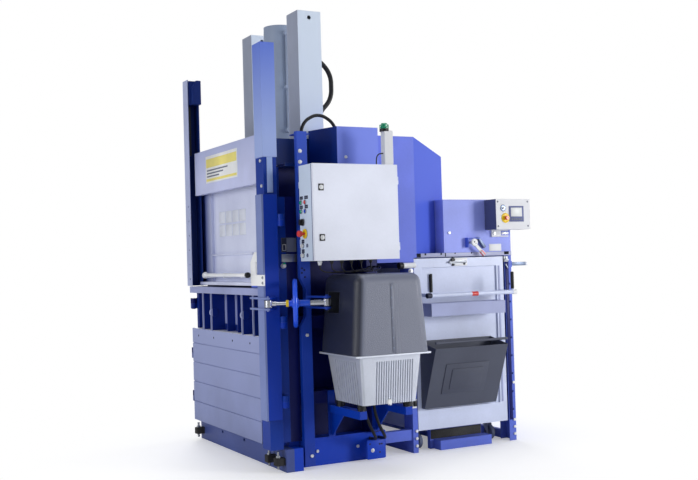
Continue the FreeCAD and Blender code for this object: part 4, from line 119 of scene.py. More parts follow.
# Node trees
class Wiring:
    """Short ways to add nodes to one tree and to connect them."""

    def __init__(self, tree: Tree) -> None:
        """Takes the tree that is worked on."""
        self.tree = tree

    def fill(self, node: Node, inputs: dict[str | int, object]) -> Node:
        """Gives a node's inputs what they take.

        Args:
            node: the node.
            inputs: a socket or a plain value for each input, by its name or number.

        Returns:
            The node itself.
        """
        for key, value in inputs.items():
            if isinstance(value, Socket):
                self.tree.links.new(value, node.inputs[key])
            else:
                node.inputs[key].default_value = value
        return node

    def node(self, kind: str, inputs: dict[str | int, object] | None = None,
             **settings: object) -> Node:
        """Adds a node.

        Args:
            kind: type of the node, without the ShaderNode that it begins with.
            inputs: a socket or a plain value for each input that is given one.
            settings: plain settings of the node.

        Returns:
            The new node.
        """
        made = self.tree.nodes.new("ShaderNode" + kind)
        for key, value in settings.items():
            setattr(made, key, value)
        return self.fill(made, inputs or {})

    def maths(self, way: str, first: object, second: object, clamp: bool = False) -> Socket:
        """Adds a sum of two values, each a socket or a number, and returns its result."""
        made = self.node("Math", {0: first, 1: second}, operation=way, use_clamp=clamp)
        return made.outputs[0]

    def times(self, first: object, second: object, clamp: bool = False) -> Socket:
        """Multiplies two values."""
        return self.maths("MULTIPLY", first, second, clamp)

    def place(self) -> Socket:
        """Place of the shaded point in the object's own space."""
        return self.node("TexCoord").outputs["Object"]

    def distance(self, way: Point) -> Socket:
        """Distance of the shaded point along a way."""
        made = self.node("VectorMath", {0: self.place(), 1: way}, operation="DOT_PRODUCT")
        return made.outputs["Value"]

    def noise(self, scale: object, detail: float = 2.0,
              stretch: Point | None = None) -> Socket:
        """Adds noise in the object's own space and returns its value.

        Args:
            scale: a socket or a number.
            detail: number of finer layers.
            stretch: scale along each axis, where it differs.

        Returns:
            The value of the noise.
        """
        place = self.place()
        if stretch is not None:
            place = self.node("Mapping", {"Vector": place, "Scale": stretch}).outputs["Vector"]
        made = self.node("TexNoise", {"Vector": place, "Scale": scale, "Detail": detail})
        return made.outputs["Fac"]

    def mix(self, mask: Socket, below: Socket, above: Socket) -> Socket:
        """Mixes two shaders by a mask."""
        return self.node("MixShader", {0: mask, 1: below, 2: above}).outputs[0]

    def white(self, kind: str, strength: float) -> Socket:
        """Adds white light of a strength, as Emission or as Background."""
        return self.node(kind, {"Color": WHITE, "Strength": strength}).outputs[0]


class SurfaceGroup(Wiring):
    """A node group for one surface effect, with named inputs and outputs."""

    def __init__(self, name: str, inputs: dict[str, float], **outputs: str) -> None:
        """Makes the group and its sockets.

        Args:
            name: name of the effect.
            inputs: usual value of each number that the effect takes.
            outputs: kind of each result, Float or Vector.
        """
        super().__init__(bpy.data.node_groups.new(name, "ShaderNodeTree"))
        for label, value in inputs.items():
            socket = self.tree.interface.new_socket(name=label, in_out="INPUT",
                                                    socket_type="NodeSocketFloat")
            socket.default_value = value
        for label, kind in outputs.items():
            self.tree.interface.new_socket(name=label, in_out="OUTPUT",
                                           socket_type="NodeSocket" + kind)
        self.entry = self.tree.nodes.new("NodeGroupInput")
        self.exit = self.tree.nodes.new("NodeGroupOutput")

    def given(self, label: str) -> Socket:
        """The socket inside the group that carries one of its inputs."""
        return self.entry.outputs[label]

    def close(self, **results: Socket) -> Tree:
        """Hands the results to the group's outputs and returns the finished group."""
        self.fill(self.exit, results)
        return self.tree


def edge_wear_and_glint_group() -> Tree:
    """Rounds edges in the shading and marks where paint is rubbed thin on them, together with
    a painted highlight along them.

    Returns:
        The group, which puts out a mask and a normal.
    """
    group = SurfaceGroup("edge_wear_and_glint", {"Radius": 0.003, "Amount": 0.3},
                         Mask="Float", Normal="Vector")
    bevel = group.node("Bevel", {"Radius": group.given("Radius")}, samples=4)
    plain = group.node("NewGeometry").outputs["Normal"]
    dot = group.node("VectorMath", {0: bevel.outputs["Normal"], 1: plain},
                     operation="DOT_PRODUCT")
    bend = group.maths("SUBTRACT", 1.0, dot.outputs["Value"], clamp=True)
    patches = group.times(group.noise(55.0, 4.0), 1.4)
    mask = group.times(group.times(bend, patches), 6.0, clamp=True)
    return group.close(Mask=group.times(mask, group.given("Amount"), clamp=True),
                       Normal=bevel.outputs["Normal"])


def grime_group() -> Tree:
    """Gathers workshop dust on level faces and dirt near the floor.

    Returns:
        The group, which puts out one mask.
    """
    group = SurfaceGroup("grime", {"Dust": 0.2, "Floor Dirt": 0.3}, Mask="Float")
    normal = group.node("NewGeometry").outputs["Normal"]
    rise = group.node("SeparateXYZ", {0: normal}).outputs["Z"]
    level = group.maths("POWER", group.maths("MAXIMUM", rise, 0.0), 3.0)
    dust = group.times(group.times(level, group.noise(34.0, 5.0)), group.given("Dust"))
    height = group.node("SeparateXYZ", {0: group.place()}).outputs["Z"]
    low = group.maths("SUBTRACT", 1.0, group.times(height, 4.5), clamp=True)
    splash = group.times(group.noise(11.0, 6.0), 1.5)
    dirt = group.times(group.times(low, splash), group.given("Floor Dirt"))
    return group.close(Mask=group.maths("ADD", dust, dirt, clamp=True))


def mottle_group() -> Tree:
    """Slow and fine changes of tone, so that no face is one flat colour.

    Returns:
        The group, which puts out a value about 0.5.
    """
    group = SurfaceGroup("mottle", {"Scale": 3.0}, Value="Float")
    broad = group.times(group.noise(group.given("Scale"), 3.0), 0.88)
    fine = group.times(group.noise(70.0), 0.12)
    return group.close(Value=group.maths("ADD", broad, fine))


def grain_group() -> Tree:
    """Fine relief of textured powder coat, moulded grain or a cast skin.

    Returns:
        The group, which puts out a height.
    """
    group = SurfaceGroup("grain", {"Scale": 400.0, "Pits": 0.3}, Height="Float")
    cells = group.node("TexVoronoi", {"Vector": group.place(),
                                      "Scale": group.times(group.given("Scale"), 0.6)},
                       feature="F1")
    pits = group.times(cells.outputs["Distance"], group.given("Pits"))
    return group.close(Height=group.maths("ADD", group.noise(group.given("Scale")), pits))


def brushed_group() -> Tree:
    """Drawn-out streaks of turned, ground or rubbed metal.

    Returns:
        The group, which puts out a value.
    """
    group = SurfaceGroup("brushed", {"Scale": 60.0}, Value="Float")
    return group.close(Value=group.noise(group.given("Scale"), 3.0, (0.12, 1.0, 5.0)))


GROUPS: dict[str, Tree] = {
    "edge_wear_and_glint": edge_wear_and_glint_group(), "grime": grime_group(), "mottle": mottle_group(),
    "grain": grain_group(), "brushed": brushed_group(),
}


# Finishes
@dataclass(frozen=True)
class Finish:
    """One surface finish of the machine, built from the shared groups."""

    name: str
    colour: Rgb
    slot: str = ""
    roughness: float = 0.42
    metallic: float = 0.0
    coat: float = 0.0
    mottle: float = 0.045
    # Pale colour and its amount along edges: worn paint together with a painted highlight on
    # the edges.
    worn_and_glint: Rgb = (205, 212, 226)
    wear_and_glint: float = 0.25
    edge: float = 0.003
    dust: float = 0.14
    floor_dirt: float = 0.25
    grain_scale: float = 500.0
    grain_depth: float = 0.00015
    pits: float = 0.3
    brushed: float = 0.0
    glow: float = 0.0
    specular: float = 0.35
    coat_roughness: float = 0.12
    dusty_gloss: float = 0.3
    grime: Rgb = (128, 124, 118)

    def __post_init__(self) -> None:
        """Names the slot after the finish where no other slot is given."""
        object.__setattr__(self, "slot", self.slot or self.name)

    def use(self, wires: Wiring, group: str, inputs: dict[str, float]) -> Node:
        """Places a shared group in a material with this finish's own values."""
        return wires.node("Group", inputs, node_tree=GROUPS[group])

    def blend(self, wires: Wiring, mask: Socket, under: Socket, over: Rgb) -> Socket:
        """Lays a plain colour over another one by a mask and returns the result."""
        made = wires.node("Mix", {0: mask, 6: under, 7: linear(over)}, data_type="RGBA")
        return made.outputs[2]

    def tone(self, wires: Wiring) -> Socket:
        """Base colour with its slow changes of tone.

        Args:
            wires: nodes of the material.

        Returns:
            The colour.
        """
        value = self.use(wires, "mottle", {"Scale": 2.3}).outputs["Value"]
        ramp = wires.node("ValToRGB", {0: value})
        low = [max(0, round(c * (1 - self.mottle * 1.6))) for c in self.colour]
        high = [min(255, round(c * (1 + self.mottle) + 2)) for c in self.colour]
        for stop, spot, shade in zip(ramp.color_ramp.elements, (0.3, 0.7), (low, high)):
            stop.position = spot
            stop.color = linear(shade)
        return ramp.outputs["Color"]

    def build(self) -> bpy.types.Material:
        """Makes the material.

        Returns:
            The finished material, named after the finish.
        """
        made = bpy.data.materials.new(self.name)
        made.use_nodes = True
        made.diffuse_color = linear(self.colour)
        wires = Wiring(made.node_tree)
        wear_and_glint = self.use(wires, "edge_wear_and_glint",
                        {"Radius": self.edge, "Amount": self.wear_and_glint}).outputs
        grime = self.use(wires, "grime",
                         {"Dust": self.dust, "Floor Dirt": self.floor_dirt}).outputs
        grain = self.use(wires, "grain",
                         {"Scale": self.grain_scale, "Pits": self.pits}).outputs
        bump = wires.node("Bump", {"Distance": self.grain_depth, "Height": grain["Height"],
                                   "Normal": wear_and_glint["Normal"]})
        colour = self.pattern(wires, self.tone(wires))
        colour = self.blend(wires, grime["Mask"], colour, self.grime)
        # Pale edges: worn paint together with a painted highlight along them.
        colour = self.blend(wires, wear_and_glint["Mask"], colour, self.worn_and_glint)
        shader = wires.fill(made.node_tree.nodes["Principled BSDF"], {
            "Base Color": colour, "Metallic": self.metallic, "Coat Weight": self.coat,
            "Coat Roughness": self.coat_roughness, "Specular IOR Level": self.specular,
            "Roughness": self.gloss(wires, grime["Mask"]), "Normal": bump.outputs["Normal"]})
        if self.glow:
            wires.fill(shader, {"Emission Color": linear(self.colour),
                                "Emission Strength": self.glow})
        return made

    def gloss(self, wires: Wiring, mask: Socket) -> Socket:
        """Roughness, which changes with dust or with brushed streaks.

        Args:
            wires: nodes of the material.
            mask: where dust and dirt lie.

        Returns:
            The roughness.
        """
        source, spread = mask, self.dusty_gloss
        if self.brushed:
            source = self.use(wires, "brushed", {"Scale": 60.0}).outputs["Value"]
            spread = self.brushed
        ramp = wires.node("MapRange", {"Value": source, "To Min": self.roughness,
                                       "To Max": min(1.0, self.roughness + spread)})
        return ramp.outputs[0]

    def pattern(self, wires: Wiring, colour: Socket) -> Socket:
        """Adds nothing: a finish with bands or stripes has its own version."""
        return colour


@dataclass(frozen=True)
class Banded(Finish):
    """A finish that turns to a second colour beyond a plane of the object."""

    second: Rgb = (20, 30, 80)
    way: Point = ALONG
    limit: float = 0.0
    fade: float = 0.002

    def pattern(self, wires: Wiring, colour: Socket) -> Socket:
        """Lays the second colour beyond the plane, with a border that fades."""
        return self.band(wires, colour, self.second, self.limit, self.fade)

    def band(self, wires: Wiring, under: Socket, over: Rgb, limit: float,
             fade: float) -> Socket:
        """Lays one colour beyond a plane across the finish's way.

        Args:
            wires: nodes of the material.
            under: colour before the plane.
            over: colour beyond it.
            limit: place of the plane along the way, in metres.
            fade: width of the border, in metres.

        Returns:
            The resulting colour.
        """
        ramp = wires.node("MapRange", {"Value": wires.distance(self.way),
                                       "From Min": limit - fade / 2,
                                       "From Max": limit + fade / 2})
        return self.blend(wires, ramp.outputs[0], under, over)


@dataclass(frozen=True)
class Graded(Banded):
    """A banded finish that turns slowly to a third colour further on."""

    third: Rgb = (40, 70, 170)
    upper: float = 0.0
    spread: float = 0.5

    def pattern(self, wires: Wiring, colour: Socket) -> Socket:
        """Lays the second and then the third colour."""
        under = super().pattern(wires, colour)
        return self.band(wires, under, self.third, self.upper, self.spread)


@dataclass(frozen=True)
class Striped(Finish):
    """A finish with slanted stripes of a second colour."""

    second: Rgb = (190, 40, 40)
    pitch: float = 0.016
    lean: Point = (1.0, 0.0, 1.0)

    def pattern(self, wires: Wiring, colour: Socket) -> Socket:
        """Lays stripes along the lean of the finish.

        Args:
            wires: nodes of the material.
            colour: colour between the stripes.

        Returns:
            The resulting colour.
        """
        wave = wires.maths("PINGPONG", wires.distance(self.lean), self.pitch)
        stripes = wires.maths("GREATER_THAN", wave, self.pitch / 2)
        return self.blend(wires, stripes, colour, self.second)


# From base_blue to feed_door_blue the press's blues are one deep blue paint. Each node gets
# its own lighter or darker copy of it, and some a band inside, so these colours carry painted
# light and shade: faces that the softboxes light are painted pale, shaded ones dark.
BLUE = {"slot": "press_blue", "roughness": 0.42, "coat": 0.03, "worn_and_glint": (112, 130, 200),
        "wear_and_glint": 0.22, "dust": 0.06, "floor_dirt": 0.12, "specular": 0.2}
DEEP = BLUE | {"dust": 0.02, "floor_dirt": 0.06}
# PALE finishes are that blue paint washed pale: a painted sheen of the softboxes.
PALE = {"slot": "pale_blue", "roughness": 0.38, "coat": 0.12, "worn_and_glint": (226, 230, 244),
        "dust": 0.06, "floor_dirt": 0.1}
GREY = {"roughness": 0.5, "grain_scale": 900.0, "grain_depth": 0.00012, "mottle": 0.025,
        "worn_and_glint": (240, 241, 245), "dust": 0.05}
LABEL = {"slot": "terminal_grey", "roughness": 0.5, "wear_and_glint": 0.0, "mottle": 0.05,
         "grain_depth": 0.00005, "floor_dirt": 0.0}

FINISHES: dict[str, Finish] = {finish.name: finish for finish in (
    # base_blue: the base's outer end, before x -0.335 m, is greyer as a painted sheen of the
    # light on that face; the rest is deep blue.
    Banded("base_blue", (70, 86, 150), second=(4, 62, 190), limit=-0.335, **DEEP),
    # shell_blue: near black blue, painted shade of the chamber walls and platen, and of the
    # strip on the bay post.
    Finish("shell_blue", (4, 16, 92), **DEEP),
    # side_blue: darker low down and lighter towards the top, painted shade and light.
    Banded("side_blue", (0, 54, 168), second=(44, 78, 186), way=UP, limit=1.0, fade=1.6,
           **BLUE),
    # head_blue: darkened as painted shade from the guide posts.
    Finish("head_blue", (12, 46, 118), **BLUE),
    # near_post_blue: near black below 2.012 m, painted shade in the post's open channel; pale
    # above as the lit cover, painted light, turning darker towards the top.
    Graded("near_post_blue", (2, 52, 152), second=(156, 174, 224), way=UP, limit=2.012,
           fade=0.004, third=(70, 102, 208), upper=2.52, spread=0.8, **BLUE),
    Finish("post_rail_blue", (154, 176, 226), **BLUE),
    # far_post_blue: the outer flange, before x -0.4845 m, is pale as painted light; the inside
    # of the channel is dark as painted shade.
    Banded("far_post_blue", (176, 184, 218), second=(18, 42, 112), limit=-0.4845, **BLUE),
    # claw_blue: the lip's outer face is pale as painted light; the rest is dark blue as
    # painted shade.
    Banded("claw_blue", (120, 134, 186), second=(0, 52, 168), limit=-0.5055, **DEEP),
    Finish("fitting_blue", (74, 100, 208), **BLUE),
    # feed_cover_blue: the slant that faces out is painted dark as shade; the front is pale as
    # painted light.
    Banded("feed_cover_blue", (2, 40, 124), second=(122, 140, 236), way=(1.0, 0.2386, 0.0),
           limit=-0.1502, **BLUE),
    Banded("cover_blue", (102, 120, 222), second=(80, 102, 214), limit=0.668, **BLUE),
    Finish("hood_blue", (146, 158, 238), **BLUE),
    Finish("bay_blue", (88, 110, 212), **BLUE),
    # door_blue: the outer faces are pale as a painted sheen; deeper into the rib bay, beyond x
    # -0.4435 m, dark as painted shade.
    Banded("door_blue", (158, 166, 208), second=(4, 34, 120), limit=-0.4435, **DEEP),
    # rib_bay_blue: pale, painted light on the lit back wall of the rib bay.
    Finish("rib_bay_blue", (150, 158, 206), **BLUE),
    Banded("slat_blue", (134, 144, 190), second=(156, 165, 208), way=UP, limit=0.5,
           fade=0.7, **BLUE),
    Banded("panel_blue", (200, 206, 242), second=(170, 178, 218), way=UP, limit=2.1,
           fade=0.25, **PALE),
    # feed_door_blue: pale as a painted sheen; dark towards the far end, beyond y 0.57 m, as
    # painted shade.
    Banded("feed_door_blue", (216, 221, 250), second=(50, 72, 150), way=ACROSS, limit=0.57,
           fade=0.2, **PALE),
    # column_grey: the outer faces of the guide tubes, before x -0.0868 m, are darker as
    # painted shade; the rest is pale as lit.
    Banded("column_grey", (150, 157, 176), coat=0.1, worn_and_glint=(235, 236, 238),
           second=(210, 222, 238), limit=-0.0868, fade=0.0006),
    # This white is the paint of the fittings; on the bale door's shelf it is a painted
    # highlight of the light from above.
    Finish("fitting_white", (250, 252, 255), "column_grey", roughness=0.3, dust=0.03),
    Finish("barrel_grey", (140, 153, 176), "column_grey", roughness=0.4, coat=0.1,
           worn_and_glint=(220, 224, 230)),
    Finish("cabinet_grey", (198, 212, 232), **GREY),
    Finish("cabinet_door_grey", (228, 232, 246), "cabinet_grey", **GREY),
    Finish("beacon_white", (226, 227, 230), "cabinet_grey", **GREY),
    Finish("trolley_white", (206, 214, 241), roughness=0.36, coat=0.1,
           worn_and_glint=(236, 238, 246)),
    Finish("tray_grey", (156, 164, 204), roughness=0.4, worn_and_glint=(230, 232, 240)),
    Finish("cast_alloy", (204, 209, 221), roughness=0.4, metallic=0.45,
           grain_scale=260.0, grain_depth=0.0006, pits=0.6, worn_and_glint=(242, 243, 246), dust=0.05),
    # hood_plastic: the hood's left face, before the slanted plane, is painted dark as shade
    # and the front lighter as lit; its wide pale edges are worn plastic together with a
    # painted highlight along the rounded edges.
    Banded("hood_plastic", (36, 40, 58), roughness=0.34, specular=0.5,
           coat=0.08, grain_scale=330.0, grain_depth=0.0012, pits=0.9, worn_and_glint=(150, 156, 172),
           wear_and_glint=0.3, edge=0.009, second=(112, 117, 135), way=(1.0, -0.03, -0.0743),
           limit=-0.118, fade=0.02),
    Finish("bin_plastic", (76, 80, 96), roughness=0.5, grain_scale=420.0,
           grain_depth=0.0005, worn_and_glint=(104, 108, 124)),
    Finish("bright_steel", (205, 208, 214), roughness=0.12, metallic=1.0,
           brushed=0.18, wear_and_glint=0.0, dust=0.05, floor_dirt=0.0, grain_depth=0.00003),
    Finish("zinc_steel", (168, 172, 180), roughness=0.28, metallic=0.9,
           brushed=0.2, wear_and_glint=0.1),
    Finish("white_bolt", (232, 233, 235), "zinc_steel", roughness=0.3, metallic=0.15,
           wear_and_glint=0.1, floor_dirt=0.1),
    Finish("wheel_blue", (30, 84, 232), roughness=0.24, coat=0.4,
           worn_and_glint=(120, 160, 240)),
    Finish("lug_blue", (18, 84, 226), "press_blue", roughness=0.28, coat=0.4,
           worn_and_glint=(110, 150, 240)),
    Finish("black_plastic", (20, 21, 24), roughness=0.4, wear_and_glint=0.08,
           worn_and_glint=(80, 82, 88)),
    Finish("bezel_silver", (176, 180, 188), "black_plastic", roughness=0.25, metallic=0.8),
    Finish("hose_rubber", (12, 12, 18), roughness=0.5, wear_and_glint=0.05,
           grain_scale=700.0, grain_depth=0.0002, worn_and_glint=(60, 60, 64)),
    Finish("wheel_rubber", (96, 106, 136), roughness=0.6, wear_and_glint=0.1,
           grain_scale=600.0, worn_and_glint=(140, 146, 160)),
    Finish("signal_green", (14, 150, 110), roughness=0.2, wear_and_glint=0.0,
           dust=0.02, coat=0.6, glow=0.08),
    Finish("signal_red", (214, 58, 52), roughness=0.3, wear_and_glint=0.0, dust=0.04,
           coat=0.3),
    Finish("signal_blue", (28, 66, 190), roughness=0.25, wear_and_glint=0.0, coat=0.4),
    Finish("switch_white", (226, 228, 230), roughness=0.3, wear_and_glint=0.05),
    # terminal_grey: the terminal's left side, before x 1.2525 m, is dark blue-grey as painted
    # shade; the rest is light grey.
    Banded("terminal_grey", (78, 84, 126), second=(222, 223, 228),
           limit=1.2525, **GREY),
    Finish("guard_yellow", (246, 206, 28), "signal_red", roughness=0.35, wear_and_glint=0.05),
    Finish("sign_yellow", (240, 226, 130), **LABEL),
    Finish("label_white", (236, 237, 238), **LABEL),
    Finish("label_grey", (112, 117, 134), **LABEL),
    Finish("label_blue", (92, 100, 146), **LABEL),
    Finish("label_pale", (224, 228, 240), **LABEL),
    Finish("label_dark", (40, 44, 66), **LABEL),
    Finish("rail_pale", (172, 177, 208), "press_blue", roughness=0.4),
    Finish("arm_grey", (116, 130, 156), "zinc_steel", roughness=0.35, metallic=0.3),
    Finish("screen_glass", (222, 224, 224), "terminal_grey", roughness=0.35, wear_and_glint=0.0,
           mottle=0.04, dust=0.0, grain_depth=0.00001),
    # dark_gap: near black; in holes and notches it is painted shade, on the levelling lugs
    # their own black.
    Finish("dark_gap", (8, 10, 20), "black_plastic", roughness=0.8, wear_and_glint=0.0, dust=0.0),
    Striped("lever_stripe", (236, 236, 238), "trolley_white", roughness=0.4,
            second=(236, 120, 132), pitch=0.013),
)}
MATERIALS: dict[str, bpy.types.Material] = {}


def material(name: str) -> bpy.types.Material:
    """Returns the material of a finish, made the first time that it is asked for.

    Args:
        name: name of the finish.

    Returns:
        The material.
    """
    if name not in MATERIALS:
        MATERIALS[name] = FINISHES[name].build()
    return MATERIALS[name]


def corners(node: str) -> tuple[Vector, Vector]:
    """Lowest and highest corner of a carried-over solid, in millimetres."""
    low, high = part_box(node)
    return Vector(low) / MM, Vector(high) / MM


# Fitted pieces
@dataclass
class Piece:
    """One fitted piece, built up from simple forms whose lengths are millimetres."""

    name: str
    finish: str
    body: Body = Body.PRESS
    mesh: bmesh.types.BMesh = field(default_factory=bmesh.new)

    def soften(self, verts: Iterable[bmesh.types.BMVert], width: float) -> None:
        """Rounds the edges between the given corners by a width in metres.

        Args:
            verts: the corners.
            width: width of the rounding.
        """
        chosen = set(verts)
        edges = [edge for edge in self.mesh.edges if set(edge.verts) <= chosen]
        bmesh.ops.bevel(self.mesh, geom=edges, offset=width, segments=2, profile=0.5,
                        affect="EDGES", clamp_overlap=True)

    def block(self, low: Point, high: Point, bevel: float = 1.0) -> "Piece":
        """Adds a block with softened edges.

        Args:
            low: lowest corner.
            high: highest corner.
            bevel: width of the softened edge.

        Returns:
            The piece itself.
        """
        size = [(b - a) * MM for a, b in zip(low, high)]
        middle = Vector([(a + b) / 2 * MM for a, b in zip(low, high)])
        matrix = Matrix.Translation(middle) @ Matrix.Diagonal((*size, 1.0))
        made = bmesh.ops.create_cube(self.mesh, size=1.0, matrix=matrix)
        self.soften(made["verts"], min(bevel * MM, min(size) * 0.3))
        return self

    def plate(self, outline: Sequence[Point], thick: Point, bevel: float = 0.6) -> "Piece":
        """Adds a flat plate with softened edges.

        Args:
            outline: corners of one face in order.
            thick: the way and the distance to the other face.
            bevel: width of the softened edge.

        Returns:
            The piece itself.
        """
        shift = Vector(thick) * MM
        near = [self.mesh.verts.new(Vector(spot) * MM) for spot in outline]
        far = [self.mesh.verts.new(Vector(spot) * MM + shift) for spot in outline]
        self.mesh.faces.new(near)
        self.mesh.faces.new(list(reversed(far)))
        for index in range(len(near)):
            after = (index + 1) % len(near)
            self.mesh.faces.new((near[index], far[index], far[after], near[after]))
        self.soften(near + far, min(bevel * MM, shift.length * 0.35))
        return self

    def lathe(self, profile: Profile, starts: Sequence[Point], way: Point, sides: int = 32,
              closed: bool = False) -> "Piece":
        """Adds the same turned form at one or more points.

        Args:
            profile: pairs of radius and station along the axis.
            starts: points where the axis has its station 0.
            way: direction of the axis.
            sides: number of sides of the turned form.
            closed: whether the profile ends where it begins, as that of a ring does.

        Returns:
            The piece itself.
        """
        turn = Vector(way).normalized().to_track_quat("Z", "Y").to_matrix()
        for start in starts:
            rings = [[self.mesh.verts.new(Vector(start) * MM + turn @ (Vector(
                (radius * cosine, radius * sine, station)) * MM))
                for cosine, sine in circle(sides)] for radius, station in profile]
            if not closed:
                self.mesh.faces.new(list(reversed(rings[0])))
                self.mesh.faces.new(rings[-1])
            for lower, upper in zip(rings, rings[1:] + rings[:1] if closed else rings[1:]):
                for index in range(sides):
                    after = (index + 1) % sides
                    self.mesh.faces.new((lower[index], lower[after], upper[after],
                                         upper[index]))
        return self

    def rod(self, start: Point, end: Point, radius: float, sides: int = 24,
            chamfer: float = 1.0) -> "Piece":
        """Adds a round bar with chamfered ends between two points.

        Args:
            start: middle of one end.
            end: middle of the other end.
            radius: radius of the bar.
            sides: number of its sides.
            chamfer: width of the chamfers.

        Returns:
            The piece itself.
        """
        axis = Vector(end) - Vector(start)
        reach = axis.length
        cut = min(chamfer, radius * 0.4, reach * 0.3)
        profile = [(radius - cut, 0), (radius, cut), (radius, reach - cut),
                   (radius - cut, reach)]
        return self.lathe(profile, [start], tuple(axis), sides)

    def sleeve(self, start: Point, end: Point, outer: float, inner: float) -> "Piece":
        """Adds a hollow ring with an outer and an inner radius between two points.

        Args:
            start: middle of one end.
            end: middle of the other end.
            outer: outer radius.
            inner: inner radius.

        Returns:
            The piece itself.
        """
        axis = Vector(end) - Vector(start)
        reach = axis.length
        cut = min(0.8, reach * 0.2)
        profile = [(inner, 0), (outer - cut, 0), (outer, cut), (outer, reach - cut),
                   (outer - cut, reach), (inner, reach)]
        return self.lathe(profile, [start], tuple(axis), closed=True)

    def screws(self, spots: Sequence[Point], way: Point, radius: float = 7.0,
               tall: float = 5.0) -> "Piece":
        """Adds hexagon screw heads with their washers, which stand out along a way.

        Args:
            spots: where the washers sit.
            way: direction of the heads.
            radius: radius of a head.
            tall: height of a head.

        Returns:
            The piece itself.
        """
        thick = 1.6
        washer = [(radius * 1.5, 0), (radius * 1.5, 1.2), (radius * 1.3, thick)]
        head = [(radius, thick), (radius, thick + tall * 0.75), (radius * 0.86, thick + tall)]
        return self.lathe(washer, spots, way, 20).lathe(head, spots, way, 6)

    def place(self) -> None:
        """Turns the mesh into an object that rides on its body."""
        bmesh.ops.recalc_face_normals(self.mesh, faces=self.mesh.faces[:])
        data = bpy.data.meshes.new(self.name)
        self.mesh.to_mesh(data)
        self.mesh.free()
        for face in data.polygons:
            face.use_smooth = True
        data.set_sharp_from_angle(angle=math.radians(32))
        data.materials.append(material(self.finish))
        made = add_object(self.name, data)
        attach(made, self.body.value)
        LOG.info("made %s, %d faces", self.name, len(data.polygons))


@dataclass
class Assembly:
    """A part of the machine: its paint and its fitted pieces.

    Attributes:
        body: the moving group that its fitted pieces ride on.
        paint: names of the carried-over solids that each finish goes on.
        fitted: for each form of Piece, rows of a piece's name, its finish and, once or
            more, what the form takes.
    """

    body: ClassVar[Body] = Body.PRESS
    paint: ClassVar[dict[str, str]] = {}
    fitted: ClassVar[dict[Callable[..., Piece], tuple[tuple, ...]]] = {}

    def build(self) -> None:
        """Paints the carried-over solids and fits the pieces."""
        for finish, nodes in self.paint.items():
            for name in nodes.split():
                self.dress(name, finish)
        for form, rows in self.fitted.items():
            for name, finish, *uses in rows:
                piece = Piece(name, finish, self.body)
                for values in uses:
                    form(piece, *values)
                piece.place()
        self.fit()

    def dress(self, name: str, finish: str) -> None:
        """Gives a carried-over solid its finish in every slot.

        Args:
            name: name of the solid.
            finish: name of the finish.
        """
        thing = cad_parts[name]
        if not thing.material_slots:
            thing.data.materials.append(material(finish))
        for slot in thing.material_slots:
            slot.material = material(finish)
        LOG.info("dressed %s as %s", name, finish)

    def fit(self) -> None:
        """Fits the pieces that mix forms, where the assembly has any."""


